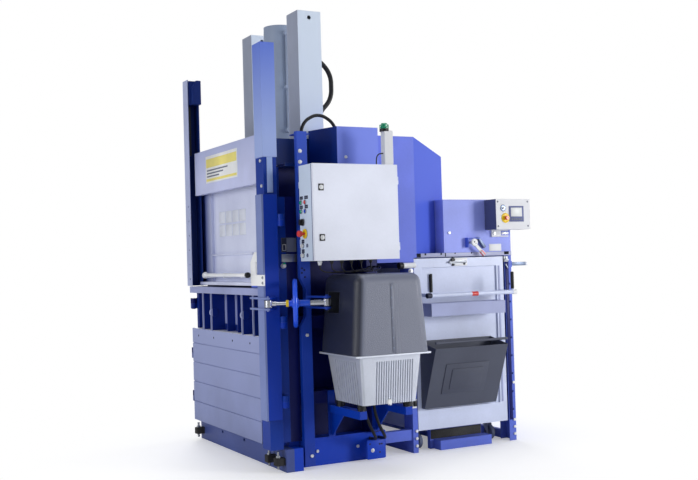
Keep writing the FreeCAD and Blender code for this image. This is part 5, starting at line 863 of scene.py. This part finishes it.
# Press
@dataclass
class PressFrame(Assembly):
    """Press with its sign field, jamb plates, screws, levelling lugs and hose ends."""

    paint = {"base_blue": "base_frame", "shell_blue": "chamber_shell press_platen",
             "side_blue": "side_frame", "head_blue": "head_yoke",
             "fitting_blue": "frame_fittings", "near_post_blue": "near_guide_post",
             "far_post_blue": "far_guide_post", "panel_blue": "front_panel",
             "column_grey": "guide_tubes", "barrel_grey": "cylinder_barrel",
             "bright_steel": "ram_bars", "black_plastic": "guide_strip",
             "white_bolt": "frame_bolts"}
    lug_middles: tuple[int, ...] = (-757, -613, 747)
    crimp_starts: tuple[int, ...] = (20, 34, 48)
    fitted = {Piece.block: (
        ("sign_field", "label_white", ((-445.5, -226, 1934), (-443.5, 400, 2132), 0.3)),
        ("sign_bands", "sign_yellow", *(
            ((-446.5, -214, low), (-445, 388, high), 0.3)
            for low, high in ((2046, 2110), (1946, 1964)))),
        ("sign_bars", "label_grey", *(
            ((-446.5, near, low), (-445, 376, low + 10), 0.3)
            for near, low in ((-44, 2020), (46, 1998), (126, 1976)))),
        ("jamb_plate_upper", "label_grey",
         ((-362, -743.5, 1403), (-256, -740.2, 1495), 0.8)),
        ("jamb_plate_lower", "zinc_steel",
         ((-362, -743.5, 1338), (-256, -740.2, 1390), 0.8)),
        ("jamb_plate_panel", "label_dark", ((-360, -745, 1405), (-326, -743, 1493), 0.6)),
        ("jamb_plate_window", "label_white", *(
            ((left, -746, low), (right, -744.5, high), 0.2)
            for left, right, low, high in (
                (-356, -330, 1412, 1415), (-356, -330, 1449, 1452),
                (-356, -353, 1412, 1452), (-333, -330, 1412, 1452)))),
        ("near_rail_face", "post_rail_blue",
         ((-466, -781.2, 1784), (-426, -779.8, 2012), 0.4)),
        ("level_lugs", "dark_gap", *(
            ((-452, y - 27, 44), (-388, y + 27, 92), 2) for y in lug_middles)),
        ("bearer_plate", "base_blue", ((192, -806, 16), (327, -799.8, 144))),
    ), Piece.lathe: (
        ("jamb_knob", "switch_white", (
            ((16, 0), (16, 4), (12, 6), (11, 12), (15, 15), (15, 20), (12, 24), (4, 25)),
            [(-354, -740, 1314)], NEAR, 32)),
        # Holes painted near black as the shade inside them.
        ("upright_holes", "dark_gap", (
            ((6, 0), (6, 1.2), (4.6, 1.8)),
            [(-247, -800, 1295), (-230, -800, 1284), (-248, -800, 1266),
             (-228, -800, 1239)], NEAR, 20)),
        # Painted shade in the bearer's holes.
        ("bearer_holes", "dark_gap", (
            ((6, 0), (6, 0.8), (4.8, 1.2)),
            [(212, -806, 118), (286, -806, 112), (286, -806, 58), (302, -806, 112)],
            NEAR, 18)),
    ), Piece.screws: (
        ("upright_screws", "white_bolt",
         ([(-239, -800, 2053), (-241, -800, 1982)], NEAR, 9, 6)),
        ("bearer_screw", "white_bolt", ([(232, -806, 74)], NEAR, 9, 6)),
    ), Piece.plate: (
        ("jamb_knob_cap", "signal_green",
         (((-366, -762, 1324), (-342, -762, 1324), (-354, -762, 1338)), (0, -4, 0))),
    ), Piece.rod: (
        ("level_bolts", "zinc_steel",
         *(((-430, y, 20), (-430, y, 132), 8, 20) for y in lug_middles),
         *(((-430, y, 92), (-430, y, 106), 15, 6) for y in lug_middles)),
        ("hose_nuts", "zinc_steel", ((112, -60, 2830), (130, -60, 2830), 23, 6),
         ((269, -60, 2170), (269, -60, 2188), 23, 6)),
        ("hose_crimps", "black_plastic",
         *(((112 + step, -60, 2830), (124 + step, -60, 2830), 20.5, 28, 2)
           for step in crimp_starts),
         *(((269, -60, 2170 + step), (269, -60, 2182 + step), 20.5, 28, 2)
           for step in crimp_starts)),
    )}

    def fit(self) -> None:
        """Weld beads at the seats of the columns and of the cylinder."""
        beads, bead, half, seat = Piece("column_welds", "head_blue"), 4, 88, 2171.5
        for y in (-410, 410):
            for edge in (-half, half):
                beads.rod((edge, y - half, seat), (edge, y + half, seat), bead, 8)
                beads.rod((-half, y + edge, seat), (half, y + edge, seat), bead, 8)
        profile = [(116 + bead * cosine, bead * sine) for cosine, sine in circle(8)]
        beads.lathe(profile, [(0, 0, 2201)], UP, 48, closed=True).place()


# Doors and their lock
@dataclass
class FeedDoor(Assembly):
    """Lifting feed door, with pale tiles in place of its notice, and the tube's knob."""

    body = Body.FEED_DOOR
    paint = {"feed_door_blue": "feed_door_panel",
             "fitting_white": "feed_door_fittings latch_lever"}
    fitted = {Piece.block: (
        ("door_tiles", "label_pale", *(
            ((-344, near, low), (-342.6, near + 119.5, low + 84), 0.3)
            for near in (-105, 28.5, 162, 295.5) for low in (1540, 1638))),
    ), Piece.rod: (
        ("tube_knob", "black_plastic", ((-403, -269, 1256), (-403, -246, 1256), 20, 28, 3)),
    )}


@dataclass
class BaleDoor(Assembly):
    """Bale door with a painted highlight on its shelf, painted light on the back of its rib
    bay, and holes in its slats painted dark as shade.
    """

    body = Body.BALE_DOOR
    paint = {"door_blue": "bale_door_frame", "slat_blue": "slat_cover"}
    fitted = {Piece.block: (
        # Painted highlight: a thin white sheet for the light that falls on the shelf from
        # above.
        ("door_shelf_highlight", "fitting_white", ((-443, -533, 851.8), (-344, 780, 853.2), 0.3)),
        # Painted light: a pale sheet for the lit back wall of the rib bay.
        ("rib_bay_back_lit", "rib_bay_blue", ((-344.8, -530, 900), (-342.8, 740, 1122), 0.3)),
    ), Piece.lathe: (
        # Holes in the slats painted near black as the shade inside them.
        ("slat_holes", "dark_gap", (
            ((7.5, 0), (7.5, 0.6), (5.5, 1)),
            [(-444, y, 800) for y in (654, 328, -46, -367)], OUT, 18)),
    )}


@dataclass
class Claw(Assembly):
    """Claw column with its white catch plate."""

    body = Body.CLAW
    paint = {"claw_blue": "claw_column"}
    fitted = {Piece.block: (
        ("claw_catch", "fitting_white", ((-536, -856, 1192), (-530.4, -640, 1262), 1.5)),
    ), Piece.screws: (
        ("claw_catch_screws", "zinc_steel",
         ([(-536, -832, 1210), (-536, -832, 1244)], OUT)),
    )}


@dataclass
class ScrewLock(Assembly):
    """Rods and hand wheel of the lock, with the ring and the collar of its sleeve."""

    body = Body.WHEEL
    paint = {"bright_steel": "link_rod claw_rod", "wheel_blue": "handwheel"}
    pin: Point = (-503.0, -838.0, 1078.0)
    slant: float = math.radians(24.9)
    axis: Point = (math.cos(slant), -math.sin(slant), 0.0)
    radii: tuple[float, float] = (21.5, 18.2)

    def station(self, distance: float) -> Point:
        """Point on the screw axis at a distance from the claw's pin."""
        return ahead(self.pin, self.axis, distance)

    def fit(self) -> None:
        """Yellow ring on the claw's side of the wheel, and blue collar at its hub."""
        Piece("sleeve_ring", "guard_yellow", self.body).sleeve(
            self.station(109), self.station(127), *self.radii).place()
        collar = Piece("wheel_collar", "lug_blue", self.body).lathe(
            ((24, 0), (30, 3), (32, 8), (32, 20), (30, 25), (24, 28)), [self.station(154)],
            self.axis, 40)
        collar.sleeve(self.station(182), self.station(260), *self.radii).place()


# Control cabinet
@dataclass
class ControlCabinet(Assembly):
    """Case of the cabinet with its switches, blank button plates, glands and lamp."""

    paint = {"cabinet_grey": "cabinet_body", "beacon_white": "beacon_housing",
             "switch_white": "selector_upper selector_lower",
             "signal_green": "start_button open_button beacon_lens",
             "signal_red": "stop_button emergency_stop", "signal_blue": "reset_button",
             "black_plastic": "main_switch", "bezel_silver": "control_bezels",
             "hose_rubber": "cabinet_cables"}
    plates: tuple[tuple[int, ...], ...] = (
        (-995, -952, 1726, 1746), (-1067, -1018, 1726, 1747), (-991, -950, 1668, 1689),
        (-1064, -1020, 1668, 1690), (-1001, -962, 1452, 1475), (-999, -960, 1392, 1415))
    fitted = {Piece.block: (
        ("button_plates", "label_dark", *(
            ((-320.6, near, low), (-318.8, far, high), 0.4)
            for near, far, low, high in plates)),
        ("button_plate_bars", "label_grey", *(
            ((-321.2, near + 6, (low + high) / 2 - 2),
             (-320.2, far - 6, (low + high) / 2 + 2), 0.2)
            for near, far, low, high in plates)),
        ("door_groove", "label_blue",
         ((-319.8, -1124, 1343), (-318.8, -1116, 1937), 0.3)),
    ), Piece.lathe: (
        ("stop_disc", "guard_yellow", (
            ((31, 0), (31, 3), (29, 4.5), (12, 4.5)), [(-323.2, -1019, 1511)], OUT, 40)),
        ("lamp_collar", "black_plastic", (
            ((31, 0), (31, 16), (29.6, 18)), [(278, -1000, 2171)], UP, 40)),
        ("gland_nut", "switch_white", (
            ((15, 0), (15, 12), (13, 15), (11, 26), (8, 28)),
            [(-233, -1034, 1339.8)], DOWN, 24)),
        ("gland_nuts_black", "black_plastic", (
            ((14, 0), (14, 9), (12, 11), (10.6, 20)),
            [(x, -1034, 1339.8) for x in (-149, -79, -9, 61, 131)], DOWN, 6)),
    ), Piece.rod: (
        ("lamp_ribs", "signal_green", *(
            ((278 + 29 * cosine, -1000 + 29 * sine, 2190),
             (278 + 29 * cosine, -1000 + 29 * sine, 2216), 1.8, 8, 0.6)
            for cosine, sine in circle(18))),
    )}


@dataclass
class CabinetDoor(Assembly):
    """Door of the cabinet, with a black frame and a pale insert round each lock."""

    body = Body.CONTROL_DOOR
    paint = {"cabinet_door_grey": "cabinet_door",
             "switch_white": "cabinet_lock_lower cabinet_lock_upper"}
    lock_heights: tuple[int, ...] = (1793, 1483)
    fitted = {Piece.block: (
        ("lock_frames", "black_plastic", *(
            ((-284, -1149.5, z - 21), (-248, -1145.8, z + 21), 4) for z in lock_heights)),
        ("lock_inserts", "switch_white", *(
            ((-276, -1150.6, z - 13), (-256, -1149, z + 13), 2) for z in lock_heights)))}


# Covers and loading bay
@dataclass
class Covers(Assembly):
    """Covers and bay, with the terminal's screen, the rail with shade painted in its notches,
    post fittings, a painted shade strip on the post, and buffers.
    """

    paint = {"feed_cover_blue": "feed_cover", "cover_blue": "lift_cover",
             "hood_blue": "bay_hood", "bay_blue": "bay_frame",
             "terminal_grey": "operator_terminal", "signal_red": "terminal_stop",
             "bright_steel": "terminal_key"}
    fitted = {Piece.block: (
        ("screen_bezel", "label_blue", ((1363, -864.5, 1581), (1493, -861.8, 1693), 1.2)),
        ("screen_glass", "screen_glass", ((1380, -865.6, 1618), (1477, -864, 1681), 0.5)),
        ("screen_keys", "label_grey", *(
            ((x, -865.4, 1592), (x + 14, -864, 1605), 0.4)
            for x in (1382, 1402, 1422, 1442, 1462))),
        ("hood_plate", "label_white",
         ((1281, -726.6, 1376.5), (1387, -724.8, 1427), 0.5)),
        ("terminal_bracket_face", "hood_blue",
         ((1380, -739.3, 1486), (1460, -738, 1520), 0.4)),
        ("bay_rail_face", "rail_pale", ((669, -727, 1343), (1474, -724.8, 1371), 0.8)),
        # Notches in the rail painted near black as the shade in them.
        ("bay_rail_notches", "dark_gap", *(
            ((left, -727.8, low), (right, -726.6, 1371), 0.3) for left, right, low in (
                (669, 700, 1345), (731, 744, 1358), (862, 874, 1358), (900, 907, 1345),
                (980, 990, 1362), (1120, 1130, 1362), (1411, 1452, 1350)))),
        # Painted shade: a dark strip on the post's front flange for the shaded channel behind
        # it.
        ("post_recess_shade", "shell_blue", ((1420, -721.2, 150), (1451, -719.8, 1340), 0.3)),
        ("post_buffer", "black_plastic", ((1476, -719, 1096), (1490, -702, 1213), 3)),
        ("arm_sleeve", "arm_grey", ((1486, -713.2, 1264.8), (1612, -700.8, 1291.2))),
        ("arm_tip", "label_pale", ((1612.2, -712.8, 1265.2), (1627.5, -701.2, 1290.8), 2)),
        ("connector_plate", "label_white", ((538, -724, 308), (636, -719.8, 370), 4)),
        ("connector_blocks", "black_plastic", ((546, -742, 316), (590, -723, 364), 3),
         ((604, -740, 322), (628, -723, 362), 3)),
        ("buffer_mat", "black_plastic", ((784, -655, 68), (1210, -650.6, 131)), *(
            ((786, -657.4, 71 + 6.8 * rib), (1208, -654.6, 74.4 + 6.8 * rib), 0.6)
            for rib in range(9))),
    ), Piece.lathe: (
        ("terminal_screws", "label_grey", (
            ((6.5, 0), (6.5, 1.2), (5.2, 2.2), (2, 1.4)),
            [(x, -862, z) for x in (1268, 1530) for z in (1724, 1550)], NEAR, 20)),
        ("terminal_disc", "guard_yellow", (
            ((35, 0), (35, 2.4), (33, 3.6), (18, 3.6)), [(1332, -862, 1608)], NEAR, 40)),
        ("terminal_key_ring", "arm_grey", (
            ((24, 0), (24, 2.5), (21, 4.5), (13, 4.5)), [(1313, -862, 1679)], NEAR, 36)),
    ), Piece.screws: (
        ("hood_screws", "white_bolt", ([(1340, -725, 1513)], NEAR, 8),
         ([(1394, -738.5, 1503), (1436, -738.5, 1503)], NEAR)),
        ("damper_bolt", "white_bolt", ([(620, -720, 1250)], NEAR, 13, 9)),
    ), Piece.rod: (
        ("damper_ring", "black_plastic",
         ((507, -745, 1291), (541.2, -745, 1291), 24, 32, 3)),
    ), Piece.plate: (
        ("lever_guard", "arm_grey", (
            ((1166, -726, 1474), (1178, -726, 1480), (1236, -726, 1410),
             (1222, -726, 1396)), (0, -26, 0))),
    )}

    def fit(self) -> None:
        """Catch of the right-hand post, and white cylinder under the lift cover."""
        catch = Piece("post_catch", "zinc_steel")
        catch.block((1408, -724.5, 1296), (1446, -719.8, 1336))
        catch.rod((1414, -729, 1310), (1446, -729, 1310), 6, 20)
        catch.rod((1420, -727, 1280), (1440, -727, 1248), 5, 20)
        catch.screws([(1427, -724.5, 1324)], NEAR).place()
        tube = Piece("damper_tube", "label_white")
        tube.rod((541, -745, 1291), (640, -745, 1291), 19, 32, 3)
        tube.block((541, -745, 1276), (640, -719.8, 1306), 2).place()


@dataclass
class ReleaseLever(Assembly):
    """Release lever with its striped grip and hub cap."""

    body = Body.LEVER
    paint = {"switch_white": "release_lever"}
    pivot: Point = (1118.0, -767.0, 1440.0)
    way: Point = (math.sqrt(0.5), 0.0, -math.sqrt(0.5))
    fitted = {Piece.rod: (
        ("lever_grip", "lever_stripe",
         (ahead(pivot, way, 84), ahead(pivot, way, 128), 15.5, 28, 4)),
    ), Piece.lathe: (
        ("lever_cap", "switch_white", (
            ((27, 0), (27, 7), (23, 11), (6, 11)), [(1118, -774, 1440)], NEAR, 36)),
        ("lever_cap_dots", "dark_gap",
         (((5, 0), (5, 0.8)), [(1114, -785, 1444)], NEAR, 16),
         (((3.4, 0), (3.4, 0.8)), [(1126, -785, 1434)], NEAR, 16)),
    )}


# Trolley
@dataclass
class Trolley(Assembly):
    """Bin trolley with marks on its handle, fittings on its front and caps at its feet."""

    body = Body.TROLLEY
    paint = {"trolley_white": "trolley_tub trolley_handle", "tray_grey": "tool_tray",
             "bin_plastic": "strap_bin",
             "zinc_steel": "caster_fork_left caster_fork_right trolley_chassis",
             "wheel_rubber": "caster_wheel_left caster_wheel_right rear_wheels"}
    bin_slope: float = 0.386
    fitted = {Piece.rod: (
        ("bar_mark", "signal_red", ((994, -900, 1083), (1046, -900, 1083), 15.5, 32, 0.4)),
        ("bar_end_left", "label_dark", ((629, -900, 1083), (668, -900, 1083), 18, 32, 3)),
        ("bar_end_right", "label_white",
         ((1344, -900, 1083), (1378, -900, 1083), 17, 32, 3)),
        ("grip_sleeves", "black_plastic", *(
            ((x, -900, 1103), (x, -900, 1226), 12, 24, 4) for x in (665, 1346))),
    ), Piece.block: (
        ("trolley_buffer", "black_plastic", ((774, -724, 1106), (792, -717, 1228), 3)),
        ("roller_plate", "label_white", ((984, -722, 1278), (1090, -717.5, 1333), 2)),
        ("trolley_seams", "tray_grey", ((1356, -719, 290), (1372, -717.6, 1270), 0.4)),
    ), Piece.lathe: (
        ("roller_knob", "black_plastic",
         (((17, 0), (17, 10), (14, 15), (5, 15)), [(966, -718, 1318)], NEAR, 32),
         (((9, 0), (9, 8), (7, 10)), [(968, -718, 1286)], NEAR, 24),
         (((8, 0), (8, 6), (6, 8)), [(1062, -722, 1292)], NEAR, 24)),
        ("caster_caps", "zinc_steel", (
            ((26, 0), (26, 3), (22, 5)), [(725, -536, 124), (1345, -536, 124)], UP, 28)),
    )}

    def fit(self) -> None:
        """Rectangles raised from the leaning front of the strap bin, and its rim."""
        slope = self.bin_slope
        for name, left, right, low, high, out in (
                ("bin_raised_outer", 785, 1141, 399, 610, 6),
                ("bin_raised_inner", 839, 1098, 431, 575, 11)):
            Piece(name, "bin_plastic", self.body).plate(
                [(x, -758.5 - (z - 300) * slope, z) for x, z in (
                    (left, low), (right, low), (right, high), (left, high))],
                (0, -out, -out * slope), 4).place()
        (left, front, _), (right, _, top) = corners("strap_bin")
        Piece("bin_rim", "bin_plastic", self.body).rod(
            (left, front + 4, top - 5), (right, front + 4, top - 5), 9, 20, 3).place()


# Power pack
@dataclass
class PowerPack(Assembly):
    """Tank with its plug, screws and mounts, and the motor hood with its seam."""

    paint = {"cast_alloy": "oil_tank", "hood_plastic": "motor_hood",
             "hose_rubber": "hydraulic_hoses"}
    fitted = {Piece.lathe: (
        ("drain_plug", "label_white", (
            ((17, 0), (17, 6), (13, 12), (5, 13)), [(124, -1231, 452)], NEAR, 28)),
        ("flange_screws", "zinc_steel", (
            ((6.5, 0), (6.5, 3.4), (5.2, 4.6)),
            [(x, -1272, 742) for x in range(-50, 316, 73)], UP, 6)),
        ("hood_rivets", "arm_grey", (
            ((4.6, 0), (4.2, 1.4), (2, 2)),
            [(127, -1302.4 + (z - 762) * 13.8 / 426, z) for z in range(790, 1163, 62)],
            NEAR, 16)),
    ), Piece.plate: (
        ("hood_seam", "hood_plastic", (
            ((120, -1299, 762), (146, -1299, 762), (144, -1285.2, 1188),
             (122, -1285.2, 1188)), (0, -3.4, -0.1), 1.6)),
    ), Piece.sleeve: (
        ("tank_mounts", "black_plastic", *(
            ((x, y, 402), (x, y, 438), 27, 20.3)
            for x, y in ((-35, -1163), (-35, -880), (295, -1163), (295, -880)))),
    )}


# Studio
@dataclass
class Studio:
    """Pale floor, soft lights and the camera at the photograph's angle."""

    eye: Point = (-3.052, -6.761, 1.338)
    aim: Point = (27.88, 1.14, -1.63)
    lens: float = 52.7
    surround: tuple[tuple[float, ...], float] = ((0.94, 0.96, 1.0, 1.0), 0.36)
    floor_colour: tuple[float, ...] = (0.88, 0.88, 0.89, 1.0)
    floor_reach: float = 60.0
    floor_lift: float = 0.3
    floor_middle: Point = (0.45, -0.1, 0.0)
    floor_fade: tuple[float, float] = (0.9, 2.4)
    lamps: tuple[tuple, ...] = (
        ("front_softbox", (7.6, -8.6, 2.7), (0.4, -0.2, 1.3), 3.0, 560.0),
        ("door_softbox", (-7.0, -1.6, 2.6), (-0.4, 0.0, 1.2), 3.4, 165.0),
        ("top_softbox", (0.6, -0.5, 7.5), (0.6, 0.0, 0.0), 4.0, 120.0),
        ("back_softbox", (2.4, 7.5, 3.4), (0.4, -0.2, 1.3), 4.0, 200.0),
        ("bay_softbox", (8.5, 1.6, 2.6), (0.4, -0.2, 1.3), 3.4, 110.0))

    def camera(self) -> None:
        """Places the camera by its yaw, pitch and roll."""
        yaw, pitch, roll = (math.radians(angle) for angle in self.aim)
        data = bpy.data.cameras.new("photo_camera")
        data.lens = self.lens
        data.sensor_width = 36.0
        made = add_object("photo_camera", data)
        made.matrix_world = (Matrix.Translation(self.eye) @ Matrix.Rotation(-yaw, 4, "Z")
                             @ Matrix.Rotation(math.pi / 2 + pitch, 4, "X")
                             @ Matrix.Rotation(roll, 4, "Z"))
        bpy.context.scene.camera = made

    def lamp(self, name: str, spot: Point, target: Point, size: float, power: float) -> None:
        """Adds a square soft light of a size and a power that faces a target.

        Args:
            name: name of the light.
            spot: its place.
            target: point that it faces.
            size: length of its side.
            power: its power in watts.
        """
        data = bpy.data.lights.new(name, "AREA")
        data.shape = "SQUARE"
        data.size = size
        data.energy = power
        made = add_object(name, data)
        made.location = spot
        made.rotation_mode = "QUATERNION"
        made.rotation_quaternion = (Vector(target) - Vector(spot)).to_track_quat("-Z", "Y")

    def world(self) -> None:
        """Sets an even pale surround, which the camera sees as plain white."""
        made = bpy.data.worlds.new("studio")
        bpy.context.scene.world = made
        made.use_nodes = True
        wires = Wiring(made.node_tree)
        colour, strength = self.surround
        even = wires.fill(wires.tree.nodes["Background"],
                          {"Color": colour, "Strength": strength})
        path = wires.node("LightPath").outputs
        seen = wires.maths("MAXIMUM", path["Is Camera Ray"], path["Is Transmission Ray"])
        wires.fill(wires.tree.nodes["World Output"], {
            "Surface": wires.mix(seen, even.outputs[0], wires.white("Background", 1.0))})

    def floor(self) -> None:
        """Lays the pale floor, which keeps the soft shadow and turns white further off."""
        sheet = bmesh.new()
        bmesh.ops.create_grid(sheet, x_segments=1, y_segments=1, size=self.floor_reach)
        data = bpy.data.meshes.new("studio_floor")
        sheet.to_mesh(data)
        sheet.free()
        made = add_object("studio_floor", data)
        made.location = (0, 0, -MM)
        white = bpy.data.materials.new("studio_floor_white")
        white.use_nodes = True
        wires = Wiring(white.node_tree)
        plain = wires.fill(wires.tree.nodes["Principled BSDF"],
                           {"Base Color": self.floor_colour, "Roughness": 0.7}).outputs[0]
        lit = wires.node("AddShader", {0: plain, 1: wires.white("Emission", self.floor_lift)})
        away = wires.node("VectorMath", {0: wires.place(), 1: self.floor_middle},
                          operation="DISTANCE")
        near, far = self.floor_fade
        fade = wires.node("MapRange", {"Value": away.outputs["Value"], "From Min": near,
                                       "From Max": far}, interpolation_type="SMOOTHSTEP")
        seen = wires.mix(fade.outputs[0], lit.outputs[0], wires.white("Emission", 1.0))
        camera = wires.node("LightPath").outputs["Is Camera Ray"]
        wires.fill(wires.tree.nodes["Material Output"],
                   {"Surface": wires.mix(camera, plain, seen)})
        data.materials.append(white)

    def build(self) -> None:
        """Builds the whole studio."""
        self.camera()
        self.world()
        self.floor()
        for lamp in self.lamps:
            self.lamp(*lamp)
        bpy.context.scene.view_settings.view_transform = "Standard"


def main() -> None:
    """Builds every part of the machine in order, then the studio."""
    logging.basicConfig(level=logging.INFO, format="%(name)s: %(message)s")
    for part in (PressFrame(), FeedDoor(), BaleDoor(), Claw(), ScrewLock(), ControlCabinet(),
                 CabinetDoor(), Covers(), ReleaseLever(), Trolley(), PowerPack(), Studio()):
        part.build()


if __name__ == "__main__":
    main()
